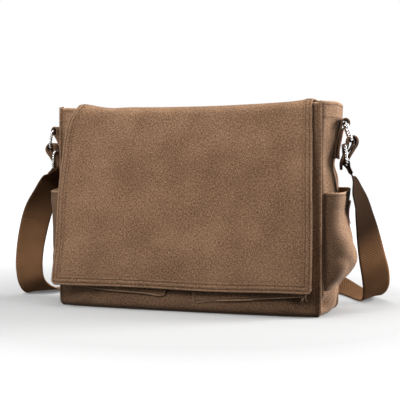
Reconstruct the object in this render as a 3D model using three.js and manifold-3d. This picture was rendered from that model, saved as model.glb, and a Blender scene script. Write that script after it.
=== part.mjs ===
// A canvas messenger bag: sewn panels around an open main compartment, two bellows pockets under a
// long front flap, a pocket on each side, and a webbing shoulder strap that hangs from a rectangular
// ring and a pin buckle at each end and lies in a loose loop on the floor behind the bag.
//
// Millimetres. +Z is up, +X is the wearer's left as the bag faces the viewer at -Y, and the origin is
// the centre of the base's underside.
import * as THREE from "three";
import { mergeVertices } from "three/addons/utils/BufferGeometryUtils.js";
import Module from "manifold-3d";

const wasm = await Module();
wasm.setup();

// ---------- driving dimensions ----------
const WIDTH = 400; // body, seam to seam
const DEPTH = 110; // body, front face to back face
const HEIGHT = 299; // top edge of the panels
const CANVAS = 2.4; // outer canvas with its interfacing
const GAP = 0.4; // between pieces that touch

const LINING = 0.8;
const LINING_TOP = 289;
const BOARD = 2; // stiffener in the bottom
const DIVIDER = { width: 366, thickness: 5, height: 222, y: 32 };

const RIDGE_Y = -18; // where the side gusset is creased outwards
// How far the crease stands out from the seams, as [height, outward] up the bag.
const RIDGE = [[0, 3], [30, 15], [80, 15], [172, 13], [214, 10], [240, 12], [270, 15], [299, 17]];

const SIDE_POCKET = { low: 38, high: 172, halfDepth: 47, wall: 2 };
// How far the side pocket's outer face stands from the bag's centre, as [height, x].
const SIDE_POCKET_FACE = [[38, 224], [58, 234], [80, 239], [105, 235], [130, 229], [150, 227], [172, 229]];

const FRONT_POCKET = { width: 166, top: 200, wall: 1.6, topDepth: 8, bottomDepth: 17.5 };
// Each front pocket's inner edge, and how high its lower corners hang.
const FRONT_POCKETS = {
  left: { side: -1, inner: 24, outerLow: 32, innerLow: 23 },
  right: { side: 1, inner: 19, outerLow: 29, innerLow: 16 },
};

const FLAP = { canvas: 2, lining: 0.8, between: 0.3, length: 269.5, lean: 5 }; // lean in degrees
// The flap's side edges: at the back seam, over the front edge of the bag, and at its hem.
const FLAP_EDGES = { back: [-180, 186], fold: [-172, 188], hem: [-208, 190] };
const FLAP_BACK_AXIS = { y: 56.5, z: 300.4 };
const FLAP_FRONT_AXIS = { y: -57.5, z: 301.8 };
const SNAP = { radius: 9, socket: 1.6, stud: 1.4, x: 105, z: 95 };

const STRAP = { width: 45, thickness: 1.8 };
const WIRE = 3.6; // rings and buckle frames
const RING_INSIDE = 47; // across the strap
const ANCHOR = { x: 221, y: 4, turn: 15 }; // the strap's ends, turned this far towards the back, in degrees
// Profiles at the strap's ends: [outward from ANCHOR.x, height].
const TAB_FOOT = [-12, 221];
const LOOP_CENTRE = [0, 271];
const RING_LOW = [8.5, 246]; // the ring's lower bar
const BUCKLE_TOP = [-0.5, 240];
const BUCKLE_LOW = [2, 214.5];
const STRAP_END = 16.5; // the webbing's folded end, from the buckle's lower bar
const STRAP_TWIST = 10; // how far the strap has turned, in degrees, just below its folded end
// How far each side's tab loop and hanging pieces lie from the profiles, and how far the strap's end
// swings outwards, in degrees.
const STRAP_ENDS = {
  left: { way: -1, loop: [7, -5.5], hang: [4, -6.5], swing: 55 },
  right: { way: 1, loop: [0, 0], hang: [0, 0], swing: 26 },
};

// ---------- materials ----------
const finish = (color, roughness, metalness = 0) =>
  new THREE.MeshStandardMaterial({ color, roughness, metalness });
const canvas = finish(0x8a6a4c, 0.95);
const webbing = finish(0x6b4a30, 0.9);
const liningCloth = finish(0x4a3f36, 0.95);
const leather = finish(0x9c5a48, 0.7);
const nickel = finish(0xb9bcc0, 0.25, 1);
const board = finish(0x2e2a27, 0.8);
const foam = finish(0x57493d, 0.95);

// ---------- helpers ----------
const radians = THREE.MathUtils.degToRad;
const lerp = THREE.MathUtils.lerp;

/** A smooth curve through [key, value] pairs, read at a key. */
function along(pairs, key) {
  const last = pairs.length - 1;
  if (key <= pairs[0][0]) return pairs[0][1];
  if (key >= pairs[last][0]) return pairs[last][1];
  const i = pairs.findIndex(([k]) => k > key) - 1;
  const t = (key - pairs[i][0]) / (pairs[i + 1][0] - pairs[i][0]);
  return lerp(pairs[i][1], pairs[i + 1][1], t * t * (3 - 2 * t));
}

/** A unit box cut into segments, each of its points moved by place(x, y, z), with x, y, z in 0..1. */
function shapedBox(segments, place) {
  const box = new THREE.BoxGeometry(1, 1, 1, ...segments);
  const position = box.getAttribute("position");
  for (let i = 0; i < position.count; i++) {
    const moved = place(position.getX(i) + 0.5, position.getY(i) + 0.5, position.getZ(i) + 0.5);
    position.setXYZ(i, ...moved);
  }
  return box;
}

/** A geometry with its positions only, so that shared points can be merged. */
function stripped(geometry) {
  const bare = geometry.clone();
  bare.deleteAttribute("normal");
  bare.deleteAttribute("uv");
  return bare;
}

function toSolid(geometry) {
  const merged = mergeVertices(stripped(geometry), 1e-4);
  return new wasm.Manifold(
    new wasm.Mesh({
      numProp: 3,
      vertProperties: merged.getAttribute("position").array,
      triVerts: new Uint32Array(merged.index.array),
    }),
  );
}

function toGeometry(solid) {
  const { vertProperties, triVerts } = solid.getMesh();
  const geometry = new THREE.BufferGeometry();
  geometry.setAttribute("position", new THREE.BufferAttribute(vertProperties, 3));
  geometry.setIndex(new THREE.BufferAttribute(triVerts, 1));
  return geometry;
}

const cut = (geometry, ...tools) =>
  toGeometry(tools.reduce((solid, tool) => solid.subtract(toSolid(tool)), toSolid(geometry)));

function piece(name, geometry, material, parent) {
  const mesh = new THREE.Mesh(geometry, material);
  mesh.name = name;
  parent.add(mesh);
  return mesh;
}

const SIDES = [["left", -1], ["right", 1]];

/** A geometry made for the right side, as it is or mirrored onto the left. */
function onSide(geometry, way) {
  if (way > 0) return geometry;
  const mirrored = geometry.scale(-1, 1, 1);
  const index = mirrored.index.array;
  for (let i = 0; i < index.length; i += 3) [index[i + 1], index[i + 2]] = [index[i + 2], index[i + 1]];
  return mirrored;
}

/** An upright box given by its low and high corners. */
function block(low, high) {
  const box = new THREE.BoxGeometry(high[0] - low[0], high[1] - low[1], high[2] - low[2]);
  return box.translate((low[0] + high[0]) / 2, (low[1] + high[1]) / 2, (low[2] + high[2]) / 2);
}

/** The outline of a strip of the given thickness that follows a smooth line through points. */
function stripShape(points, thickness, steps) {
  const line = new THREE.SplineCurve(points.map(([x, y]) => new THREE.Vector2(x, y)));
  const left = [];
  const right = [];
  for (let i = 0; i <= steps; i++) {
    const at = line.getPointAt(i / steps);
    const across = line.getTangentAt(i / steps).rotateAround(new THREE.Vector2(), Math.PI / 2);
    left.push(at.clone().addScaledVector(across, thickness / 2));
    right.unshift(at.clone().addScaledVector(across, -thickness / 2));
  }
  return new THREE.Shape([...left, ...right]);
}

/** A shape drawn as [outward, height], extruded along the strap's width and centred on it. */
function acrossStrap(shape, width) {
  const solid = new THREE.ExtrudeGeometry(shape, { depth: width, bevelEnabled: false, curveSegments: 10 });
  return solid.translate(0, 0, -width / 2).rotateX(Math.PI / 2);
}

// ---------- the body ----------
const bag = new THREE.Group();

/** The gusset's outer surface: how far it stands from the bag's centre plane at (y, z). */
function gussetFace(y, z) {
  const half = DEPTH / 2 - CANVAS - GAP;
  const towardsEdge = y < RIDGE_Y ? (RIDGE_Y - y) / (RIDGE_Y + half) : (y - RIDGE_Y) / (half - RIDGE_Y);
  return WIDTH / 2 + along(RIDGE, z) * (1 - Math.min(1, towardsEdge));
}

/** The right gusset from an inner depth below its outer surface to a clearance above it. */
function gussetSolid(depth, clearance) {
  const half = DEPTH / 2 - CANVAS - GAP;
  // Columns of points stand on the seams and on the crease, so that the crease stays sharp.
  const columns = [-half, (RIDGE_Y - half) / 2, RIDGE_Y, (RIDGE_Y + half) / 2, half];
  return shapedBox([1, columns.length - 1, 10], (x, y, z) => {
    const across = columns[Math.round(y * (columns.length - 1))];
    const up = lerp(CANVAS + GAP, HEIGHT, z);
    return [gussetFace(across, up) + lerp(-depth, clearance, x), across, up];
  });
}

function bodyPanels() {
  const front = -DEPTH / 2;
  const back = DEPTH / 2;
  const side = WIDTH / 2;
  const low = CANVAS + GAP;
  piece("base_panel", block([-side, front, 0], [side, back, CANVAS]), canvas, bag);
  piece("front_panel", block([-side, front, low], [side, front + CANVAS, HEIGHT]), canvas, bag);
  piece("back_panel", block([-side, back - CANVAS, low], [side, back, HEIGHT]), canvas, bag);
  for (const [name, way] of SIDES) piece(`${name}_gusset`, onSide(gussetSolid(CANVAS, 0), way), canvas, bag);
}

function inside() {
  const x = WIDTH / 2 - CANVAS - GAP;
  const y = DEPTH / 2 - CANVAS - GAP;
  const low = CANVAS + GAP;
  const shell = block([-x, -y, low], [x, y, LINING_TOP]);
  const hollow = block([-x + LINING, -y + LINING, low + LINING], [x - LINING, y - LINING, LINING_TOP + 1]);
  piece("lining", cut(shell, hollow), liningCloth, bag);

  const boardLow = low + LINING + GAP;
  const clear = 4;
  piece(
    "base_board",
    block([-x + clear, -y + clear, boardLow], [x - clear, y - clear, boardLow + BOARD]),
    board,
    bag,
  );
  const dividerLow = boardLow + BOARD + GAP;
  piece(
    "laptop_divider",
    block(
      [-DIVIDER.width / 2, DIVIDER.y - DIVIDER.thickness / 2, dividerLow],
      [DIVIDER.width / 2, DIVIDER.y + DIVIDER.thickness / 2, dividerLow + DIVIDER.height],
    ),
    foam,
    bag,
  );
}

// ---------- pockets ----------
/** A bellows pocket: a tray that is open upwards and against the front panel. */
function frontPocket(name, { side, inner, outerLow, innerLow }) {
  const { width, top, wall, topDepth, bottomDepth } = FRONT_POCKET;
  const back = -DEPTH / 2 - GAP;
  const solid = (inset, backY, topZ) =>
    shapedBox([2, 1, 2], (x, y, z) => {
      const fromInner = lerp(inset, width - inset, side > 0 ? x : 1 - x);
      const low = lerp(innerLow, outerLow, fromInner / width) + inset;
      const up = lerp(low, topZ, z);
      const depth = lerp(bottomDepth, topDepth, (up - innerLow) / (top - innerLow)) - inset;
      return [side * (inner + fromInner), lerp(back - depth, backY, y), up];
    });
  piece(`${name}_front_pocket`, cut(solid(0, back, top), solid(wall, back + 2, top + 2)), canvas, bag);
}

/** A side pocket's outer face: how far it stands from the bag's centre plane at (y, z). */
function pocketFace(y, z) {
  const round = Math.abs(y / SIDE_POCKET.halfDepth) ** 4;
  return along(SIDE_POCKET_FACE, z) - round * 13;
}

/** A side pocket: a rounded shell that is open upwards and against the gusset. */
function sidePocket(name, way) {
  const { low, high, halfDepth, wall } = SIDE_POCKET;
  const inner = WIDTH / 2 - 6;
  const solid = (inset, topZ) =>
    shapedBox([1, 12, 8], (x, y, z) => {
      const up = lerp(low + inset, topZ, z);
      const across = lerp(-halfDepth, halfDepth, y);
      const face = pocketFace(across, up) - inset;
      return [lerp(inner, face, x), across * (1 - inset / halfDepth), up];
    });
  const shell = cut(solid(0, high), solid(wall, high + 2), gussetSolid(100, GAP));
  piece(`${name}_side_pocket`, onSide(shell, way), canvas, bag);
}

/** The leather tag sewn flat on the right side pocket, towards the back. */
function pocketTag() {
  const thickness = 1.6;
  const tag = shapedBox([1, 4, 4], (x, y, z) => {
    const [across, up] = [lerp(12, 32, y), lerp(127, 160, z)];
    return [pocketFace(across, up) + 2 * GAP + x * thickness, across, up];
  });
  piece("side_pocket_tag", tag, leather, bag);
}

// ---------- the flap ----------
/** A flat flap layer: place(x, y, z) gets x between the side edges, which go from one pair of ends to
 *  the other as y goes from 0 to 1. */
function flapLayer(from, to, place) {
  return shapedBox([1, 1, 1], (x, y, z) => {
    const left = lerp(from[0], to[0], y);
    const right = lerp(from[1], to[1], y);
    return place(lerp(left, right, x), y, z);
  });
}

function flapTop() {
  const frontEnd = FLAP_FRONT_AXIS.y + 2;
  const backEnd = FLAP_BACK_AXIS.y - 1.5;
  const add = (name, low, thickness, material) => {
    const place = (x, y, z) => [x, lerp(frontEnd, backEnd, y), low + z * thickness];
    piece(name, flapLayer(FLAP_EDGES.fold, FLAP_EDGES.back, place), material, bag);
  };
  const liningLow = HEIGHT + 1;
  add("flap_top_lining", liningLow, FLAP.lining, liningCloth);
  add("flap_top_panel", liningLow + FLAP.lining + FLAP.between, FLAP.canvas, canvas);
}

/** The front of the flap hangs from its fold and leans out over the pockets. */
function flapFront() {
  const { canvas: thick, lining, between, length, lean } = FLAP;
  const front = new THREE.Group();
  front.position.set(0, FLAP_FRONT_AXIS.y, FLAP_FRONT_AXIS.z);
  front.rotation.x = -radians(lean);
  bag.add(front);
  const start = -3.4;
  const hanging = (inside, outside, hem) => (x, y, z) => [x, lerp(outside, inside, z), lerp(-hem, start, y)];
  const outer = hanging(-thick / 2, thick / 2, length);
  piece("flap_front_panel", flapLayer(FLAP_EDGES.hem, FLAP_EDGES.fold, outer), canvas, front);

  const hemTurn = 12; // the lining stops short of the flap's edges
  const inset = ([left, right]) => [left + hemTurn, right - hemTurn];
  const low = thick / 2 + between;
  const inner = hanging(low, low + lining, length - hemTurn);
  const liningLayer = flapLayer(inset(FLAP_EDGES.hem), inset(FLAP_EDGES.fold), inner);
  piece("flap_front_lining", liningLayer, liningCloth, front);

  const drop = (FLAP_FRONT_AXIS.z - SNAP.z) / Math.cos(radians(lean));
  for (const [name, way] of SIDES) {
    const stud = new THREE.CylinderGeometry(SNAP.radius, SNAP.radius, SNAP.stud, 20);
    const mesh = piece(`${name}_snap_stud`, stud, nickel, front);
    mesh.position.set(way * SNAP.x, low + lining + GAP + SNAP.stud / 2, -drop);
  }
}

/** The lower halves of the magnetic snaps, on the pockets' faces. */
function snapSockets() {
  const { top, topDepth, bottomDepth } = FRONT_POCKET;
  for (const [name, { side, innerLow }] of Object.entries(FRONT_POCKETS)) {
    const socket = new THREE.CylinderGeometry(SNAP.radius, SNAP.radius, SNAP.socket, 20);
    const slope = Math.atan2(bottomDepth - topDepth, top - innerLow);
    const depth = lerp(bottomDepth, topDepth, (SNAP.z - innerLow) / (top - innerLow));
    const mesh = piece(`${name}_snap_socket`, socket, nickel, bag);
    const out = GAP + SNAP.socket / 2;
    mesh.position.set(side * SNAP.x, -DEPTH / 2 - GAP - depth - out, SNAP.z);
    mesh.rotation.x = -slope;
  }
}

// ---------- the strap's ends ----------
/** A flat frame with rounded corners: bar is its material's width, in the plane [across, up]. */
function frameShape(insideWidth, insideHeight, bar) {
  const rounded = (target, halfWidth, halfHeight, radius) => {
    const corners = [[1, 1, 0], [-1, 1, 0.5], [-1, -1, 1], [1, -1, 1.5]];
    for (const [sx, sy, turn] of corners) {
      const [cx, cy] = [sx * (halfWidth - radius), sy * (halfHeight - radius)];
      target.absarc(cx, cy, radius, turn * Math.PI, (turn + 0.5) * Math.PI, false);
    }
    target.closePath();
    return target;
  };
  const outer = [insideWidth / 2 + bar, insideHeight / 2 + bar, bar + 2.5];
  const shape = rounded(new THREE.Shape(), ...outer);
  shape.holes.push(rounded(new THREE.Path(), insideWidth / 2, insideHeight / 2, 2.5));
  return shape;
}

/** A frame that stands across the strap, with its bars' centres at the two profile points. */
function crossFrame(low, high, bar, thickness) {
  const [rise, run] = [high[1] - low[1], high[0] - low[0]];
  const bevel = 0.6;
  const shape = frameShape(RING_INSIDE + 2 * bevel, Math.hypot(rise, run) - bar + 2 * bevel, bar - 2 * bevel);
  const frame = new THREE.ExtrudeGeometry(shape, {
    depth: thickness - 2 * bevel,
    bevelThickness: bevel,
    bevelSize: bevel,
    bevelSegments: 1,
    curveSegments: 4,
  });
  frame.translate(0, 0, -(thickness - 2 * bevel) / 2);
  frame.rotateX(Math.PI / 2).rotateZ(Math.PI / 2); // now across = y, up = z, thickness = x
  frame.rotateY(Math.atan2(run, rise));
  return frame.translate((low[0] + high[0]) / 2, 0, (low[1] + high[1]) / 2);
}

const plus = (point, shift) => [point[0] + shift[0], point[1] + shift[1]];

/** The tab sewn to the gusset: a doubled band that opens into a loop for the ring. */
function anchorTab(loop) {
  const [cx, cz] = plus(LOOP_CENTRE, loop);
  const shape = new THREE.Shape();
  shape.moveTo(TAB_FOOT[0] - 20, TAB_FOOT[1]);
  shape.lineTo(...TAB_FOOT);
  shape.lineTo(cx - 4, cz - 9);
  shape.lineTo(cx + 4.6, cz - 4.5);
  shape.absarc(cx, cz, 6.4, radians(-44), radians(205), false);
  shape.lineTo(cx - 9, cz - 9);
  shape.closePath();
  const hole = new THREE.Path();
  hole.absarc(cx, cz, 4.4, 0, 2 * Math.PI, true);
  shape.holes.push(hole);
  return acrossStrap(shape, STRAP.width);
}

/** The leather facing on the outside of the tab. */
function anchorFacing(loop) {
  const high = plus(plus(LOOP_CENTRE, loop), [-3, -10]);
  return acrossStrap(stripShape([plus(TAB_FOOT, [1, 0]), high], 1, 3), STRAP.width - 1);
}

/** The belt: held at the buckle's lower bar, it bulges outwards, goes through the ring and comes back
 *  down on the inside through the buckle, where the prong goes through its slot. */
function belt() {
  const path = [
    [3.9, 219.2], [7.6, 226], [11.6, 233], [15.2, 240], [16.2, 246], [13.8, 250.7], [9.2, 251.7],
    [5.2, 249.4], [3.9, 245], [3.3, 239], [0.6, 229], [-3.7, 218], [-4.9, 211], [-4.7, 204.5],
  ];
  const strip = acrossStrap(stripShape(path, 2.6, 34), STRAP.width);
  return cut(strip, block([-7, -2, 209], [4, 2, 236]));
}

/** The webbing's end, folded round the buckle's lower bar, sewn to itself and swung outwards. */
function strapEnd(swing) {
  const shape = new THREE.Shape();
  shape.absarc(0, 0, 4.6, radians(-40), radians(220), false);
  shape.lineTo(-2, -8);
  shape.lineTo(-1.8, -STRAP_END);
  shape.lineTo(1.8, -STRAP_END);
  shape.lineTo(2, -8);
  shape.closePath();
  const hole = new THREE.Path();
  hole.absarc(0, 0, 2.8, 0, 2 * Math.PI, true);
  shape.holes.push(hole);
  const notch = block([-6, -2.2, -6], [6, 2.2, 6]); // for the prong's eye
  const end = cut(acrossStrap(shape, STRAP.width), notch);
  return end.rotateY(-radians(swing)).translate(BUCKLE_LOW[0], 0, BUCKLE_LOW[1]);
}

/** The prong: an eye round the lower bar and a pin that ends on the inner face of the upper bar. */
function prong() {
  const [cx, cz] = BUCKLE_LOW;
  const eye = new THREE.Shape();
  eye.absarc(cx, cz, 4, 0, 2 * Math.PI, false);
  const hole = new THREE.Path();
  hole.absarc(cx, cz, 2.7, 0, 2 * Math.PI, true);
  eye.holes.push(hole);
  const ring = acrossStrap(eye, 3);
  const from = new THREE.Vector3(cx - 3.4, 0, cz + 1);
  const to = new THREE.Vector3(BUCKLE_TOP[0] - 3.3, 0, BUCKLE_TOP[1] + 1.5);
  const pin = new THREE.CylinderGeometry(1, 1.3, from.distanceTo(to), 10);
  pin.applyQuaternion(
    new THREE.Quaternion().setFromUnitVectors(new THREE.Vector3(0, 1, 0), to.clone().sub(from).normalize()),
  );
  pin.translate(...from.clone().add(to).multiplyScalar(0.5).toArray());
  return toGeometry(toSolid(ring).add(toSolid(pin)));
}

function strapHardware(name, { way, loop, hang, swing }) {
  const turned = (geometry, shift = [0, 0]) => {
    const merged = mergeVertices(stripped(geometry), 1e-4).translate(shift[0], 0, shift[1]);
    return merged.rotateZ(radians(ANCHOR.turn)).translate(ANCHOR.x, ANCHOR.y, 0);
  };
  const add = (part, geometry, material) => piece(`${name}_${part}`, onSide(geometry, way), material, bag);
  const ringFrame = crossFrame(plus(RING_LOW, hang), plus(LOOP_CENTRE, loop), WIRE, WIRE);
  const gusset = gussetSolid(60, GAP); // the tab lies flat on it
  add("anchor_tab", cut(turned(anchorTab(loop)), gusset), canvas);
  add("anchor_facing", cut(turned(anchorFacing(loop)), gusset), leather);
  add("ring", turned(ringFrame), nickel);
  add("belt", turned(belt(), hang), canvas);
  add("buckle_frame", turned(crossFrame(BUCKLE_LOW, BUCKLE_TOP, WIRE, 3.2), hang), nickel);
  add("buckle_prong", turned(prong(), hang), nickel);
  add("strap_end", turned(strapEnd(swing), hang), webbing);
}

// ---------- the shoulder strap ----------
// The way between the strap's two ends, from the right side round the back to the left, as
// [x, y, z, heading, tilt]: heading is the direction of the strap's width in plan, in degrees from +X
// towards +Y, and tilt is how far its far edge is raised, in degrees.
const STRAP_ROUTE = [
  [236.5, 13, 176, 84, 0],
  [240.5, 25, 157, 77, 0],
  [243, 42, 131, 68, 0],
  [245, 62, 102, 56, 2],
  [247, 82, 73, 45, 5],
  [249, 101, 46, 34, 10],
  [247, 118, 24, 30, 18],
  [240, 138, 10.5, 30, 20],
  [226, 164, 4.5, 31, 8],
  [208, 196, 2.7, 32, 4],
  [184, 232, 5.3, 38, 10],
  [146, 266, 13, 52, 32],
  [92, 292, 20.8, 70, 62],
  [24, 305, 23, 86, 82],
  [-48, 306, 23.5, 94, 90],
  [-120, 293, 23, 104, 98],
  [-184, 264, 20.8, 122, 118],
  [-234, 222, 13, 142, 148],
  [-268, 172, 5.1, 164, 170],
  [-288, 120, 2.8, 178, 176],
  [-297, 74, 4.9, 183, 172],
  [-299, 45, 11, 186, 160],
  [-300, 30, 24, 188, 164],
  [-299.5, 22, 46, 190, 170],
  [-296, 18, 73, 193, 176],
  [-289, 15.5, 104, 200, 180],
  [-278, 13.5, 138, 212, 180],
  [-260.5, 11, 170, 232, 180],
];

/** Where the strap leaves one of its folded ends, and a point a little further on. */
function strapStart({ way, hang, swing }) {
  const bar = plus(BUCKLE_LOW, hang);
  const at = (distance, twist) => {
    const out = bar[0] + distance * Math.sin(radians(swing));
    const height = bar[1] - distance * Math.cos(radians(swing));
    const turn = radians(ANCHOR.turn);
    const heading = (way > 0 ? 90 + ANCHOR.turn : 270 - ANCHOR.turn) - twist;
    return [
      way * (ANCHOR.x + out * Math.cos(turn)),
      ANCHOR.y + out * Math.sin(turn),
      height,
      heading,
      way > 0 ? 0 : 180,
    ];
  };
  return [at(STRAP_END + GAP, 0), at(STRAP_END + 9, STRAP_TWIST)];
}

function shoulderStrap() {
  const route = [...strapStart(STRAP_ENDS.right), ...STRAP_ROUTE, ...strapStart(STRAP_ENDS.left).reverse()];
  const centres = route.map(([x, y, z]) => new THREE.Vector3(x, y, z));
  const widths = route.map(([, , , heading, tilt]) => {
    const [h, t] = [radians(heading), radians(tilt)];
    return new THREE.Vector3(Math.cos(h) * Math.cos(t), Math.sin(h) * Math.cos(t), Math.sin(t));
  });
  const line = new THREE.CatmullRomCurve3(centres);
  const across = new THREE.CatmullRomCurve3(widths, false, "catmullrom", 0.5);
  const steps = 80;
  return shapedBox([1, 1, steps], (x, y, z) => {
    const t = Math.round(z * steps) / steps;
    const tangent = line.getTangent(t);
    const width = across.getPoint(t);
    width.addScaledVector(tangent, -width.dot(tangent)).normalize();
    const normal = new THREE.Vector3().crossVectors(tangent, width);
    const at = line.getPoint(t);
    at.addScaledVector(width, (x - 0.5) * STRAP.width);
    at.addScaledVector(normal, (y - 0.5) * STRAP.thickness);
    return at.toArray();
  });
}

// ---------- assembly ----------
bodyPanels();
inside();
for (const [name, pocket] of Object.entries(FRONT_POCKETS)) frontPocket(name, pocket);
for (const [name, way] of SIDES) sidePocket(name, way);
for (const [name, end] of Object.entries(STRAP_ENDS)) strapHardware(name, end);
pocketTag();
flapTop();
flapFront();
snapSockets();
piece("shoulder_strap", shoulderStrap(), webbing, bag);

export default bag;
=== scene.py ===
"""A washed canvas messenger bag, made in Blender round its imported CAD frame.

Shapes are worked out in millimetres, in the row frame, and become metres when a mesh is made. Every cloth
piece is a smooth surface given by a formula, cut into a grid, thickened and rounded at its edges, with
its stitches standing on it as small threads.
"""
import math

import bpy
import numpy as np
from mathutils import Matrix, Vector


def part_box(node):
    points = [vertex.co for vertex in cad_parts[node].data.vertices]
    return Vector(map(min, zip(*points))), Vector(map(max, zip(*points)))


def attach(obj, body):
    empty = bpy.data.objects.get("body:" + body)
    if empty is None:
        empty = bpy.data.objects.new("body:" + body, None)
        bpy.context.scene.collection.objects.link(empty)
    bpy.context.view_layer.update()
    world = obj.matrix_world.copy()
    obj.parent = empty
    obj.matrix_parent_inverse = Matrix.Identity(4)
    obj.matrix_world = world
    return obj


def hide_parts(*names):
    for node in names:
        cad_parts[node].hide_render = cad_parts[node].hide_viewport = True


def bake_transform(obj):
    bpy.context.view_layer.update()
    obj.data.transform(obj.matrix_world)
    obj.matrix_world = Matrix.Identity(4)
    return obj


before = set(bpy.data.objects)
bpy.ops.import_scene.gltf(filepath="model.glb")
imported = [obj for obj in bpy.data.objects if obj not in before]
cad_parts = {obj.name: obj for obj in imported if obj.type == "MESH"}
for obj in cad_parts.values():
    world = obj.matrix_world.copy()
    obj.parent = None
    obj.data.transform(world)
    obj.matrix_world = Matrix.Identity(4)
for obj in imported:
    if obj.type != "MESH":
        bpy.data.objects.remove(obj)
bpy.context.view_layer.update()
MM = 0.001


def box_mm(node):
    """A CAD node's lowest and highest corners, in millimetres."""
    low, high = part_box(node)
    return np.array(low) / MM, np.array(high) / MM


# ---------- driving dimensions, in millimetres, read off the frame where it holds them ----------
FRONT_LOW, FRONT_HIGH = box_mm("front_panel")
BACK_HIGH = box_mm("back_panel")[1]
HALF_WIDTH = FRONT_HIGH[0]
HALF_DEPTH = BACK_HIGH[1]
HEIGHT = FRONT_HIGH[2]
CANVAS = FRONT_HIGH[1] - FRONT_LOW[1]
PANEL_SIZE = (400, 304)  # a panel's flat width and height, for its points and its wear
GUSSET_SIZE = (110, 304)
EDGE = 9  # radius of the body's bottom edges
EDGE_ARC = EDGE * math.pi / 2

# How far the back's seams stand out from the front's, as [height, outward]: drawn in at a waist.
BACK_SEAM = [[0, 0], [175, 0], [195, -1.5], [212, -6.5], [235, -1], [265, 4], [299, 6]]
RIDGE_Y = -18  # where the gussets are creased outwards
RIDGE = [[0, 3], [30, 15], [80, 15], [172, 13], [214, 10], [240, 12], [270, 15], [299, 17]]
# A side pocket: its closed bottom turns in over the distance "close", and "girth" is round its face.
SIDE_POCKET = {"low": 38, "high": 172, "half_depth": 47, "wall": 2, "close": 12, "girth": 165}
SIDE_POCKET_LENGTH = SIDE_POCKET["high"] - SIDE_POCKET["low"] + SIDE_POCKET["close"]
# The side pockets' faces from the bottom up, as [height, outward]: the right one bellies out.
SIDE_POCKET_FACES = {
    "left": [[38, 224], [48, 228], [62, 229], [85, 230], [120, 231], [150, 231.5], [172, 233]],
    "right": [
        [38, 211], [46, 217], [54, 226], [62, 232], [71, 237], [80, 239],
        [90, 238], [105, 233.5], [122, 226], [148, 224], [172, 227],
    ],
}
POCKET_ROUND = 0.8  # 1 is an elliptical pocket in plan, and less is boxier
POCKET_SLUMP = {"left": 0.35, "right": 1.0}  # how deep the side pockets' folds are
FRONT_POCKET = {"width": 166, "top": 200, "wall": 1.6, "top_depth": 8, "bottom_depth": 17.5, "corner": 7}
FRONT_POCKETS = {
    "left": {"side": -1, "inner": 24, "outer_low": 32, "inner_low": 23},
    "right": {"side": 1, "inner": 19, "outer_low": 29, "inner_low": 16},
}
FLAP_CANVAS = 2.0
FLAP_LEAN = math.radians(5)
FLAP_FOLD = 11  # radius of the flap's front fold
FLAP_BACK_Y = 57.4
FLAP_TURN = 6  # radius where the flap turns over the back panel
FLAP_TOP_Z = 302
FLAP_FOLD_Y = -59
FLAP_SEAM_Z = 281  # the flap is sewn to the back panel from here up
FLAP_SPLIT_Y = 0  # the flap's two pieces meet here, on top
# The flap's side edges, as [distance below the front fold, x].
FLAP_LEFT = [[0, -170], [18, -182], [38, -188], [78, -193], [124, -197.5], [203, -199.5], [255, -203.5]]
FLAP_RIGHT = [[0, 188.5], [84, 190.4], [234, 193], [262, 193]]
FLAP_HEM = {"left": 266, "right": 266, "corner": 7}  # how far below the fold the hem hangs
HEM = 12  # width of the folded hems
HEM_HEIGHT = 0.55
LINING = 0.8
ROWS = (3, 9)  # where a hem's two rows of stitches are, from its edge

STRAP_WIDTH = 45
STRAP_THICKNESS = 1.8
WIRE = 4.2  # thickness of the rings' and buckles' twisted bar
TAB = 2.6  # thickness of an anchor tab's folded canvas
BELT = 3.2  # thickness of a belt
RING_INSIDE = 47
ANCHOR = {"x": 221, "y": 4, "turn": math.radians(15)}
TAB_FOOT = (-12, 221)
LOOP_CENTRE = (0, 271)
RING_LOW = (8.5, 246)
BUCKLE_TOP = (-0.5, 240)
BUCKLE_LOW = (2, 214.5)
STRAP_END = 16.5
STRAP_TWIST = 10  # how far the strap has turned, in degrees, just below its folded end
# How each end of the strap hangs: which way is outward, how far its tab's loop and what hangs from the ring
# are moved (outward, up), how far the folded strap end swings out, how round the belt is, and how much
# painted shade darkens the webbing at that end.
STRAP_ENDS = {
    "left": {
        "way": -1,
        "loop": (7, -5.5),
        "hang": (4, -6.5),
        "swing": math.radians(55),
        "belly": 5,
        "dark": 0.62,
    },
    "right": {
        "way": 1,
        "loop": (0, 0),
        "hang": (0, 0),
        "swing": math.radians(26),
        "belly": 1,
        "dark": 0.95,
    },
}
SIDES = (("left", -1), ("right", 1))

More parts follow.
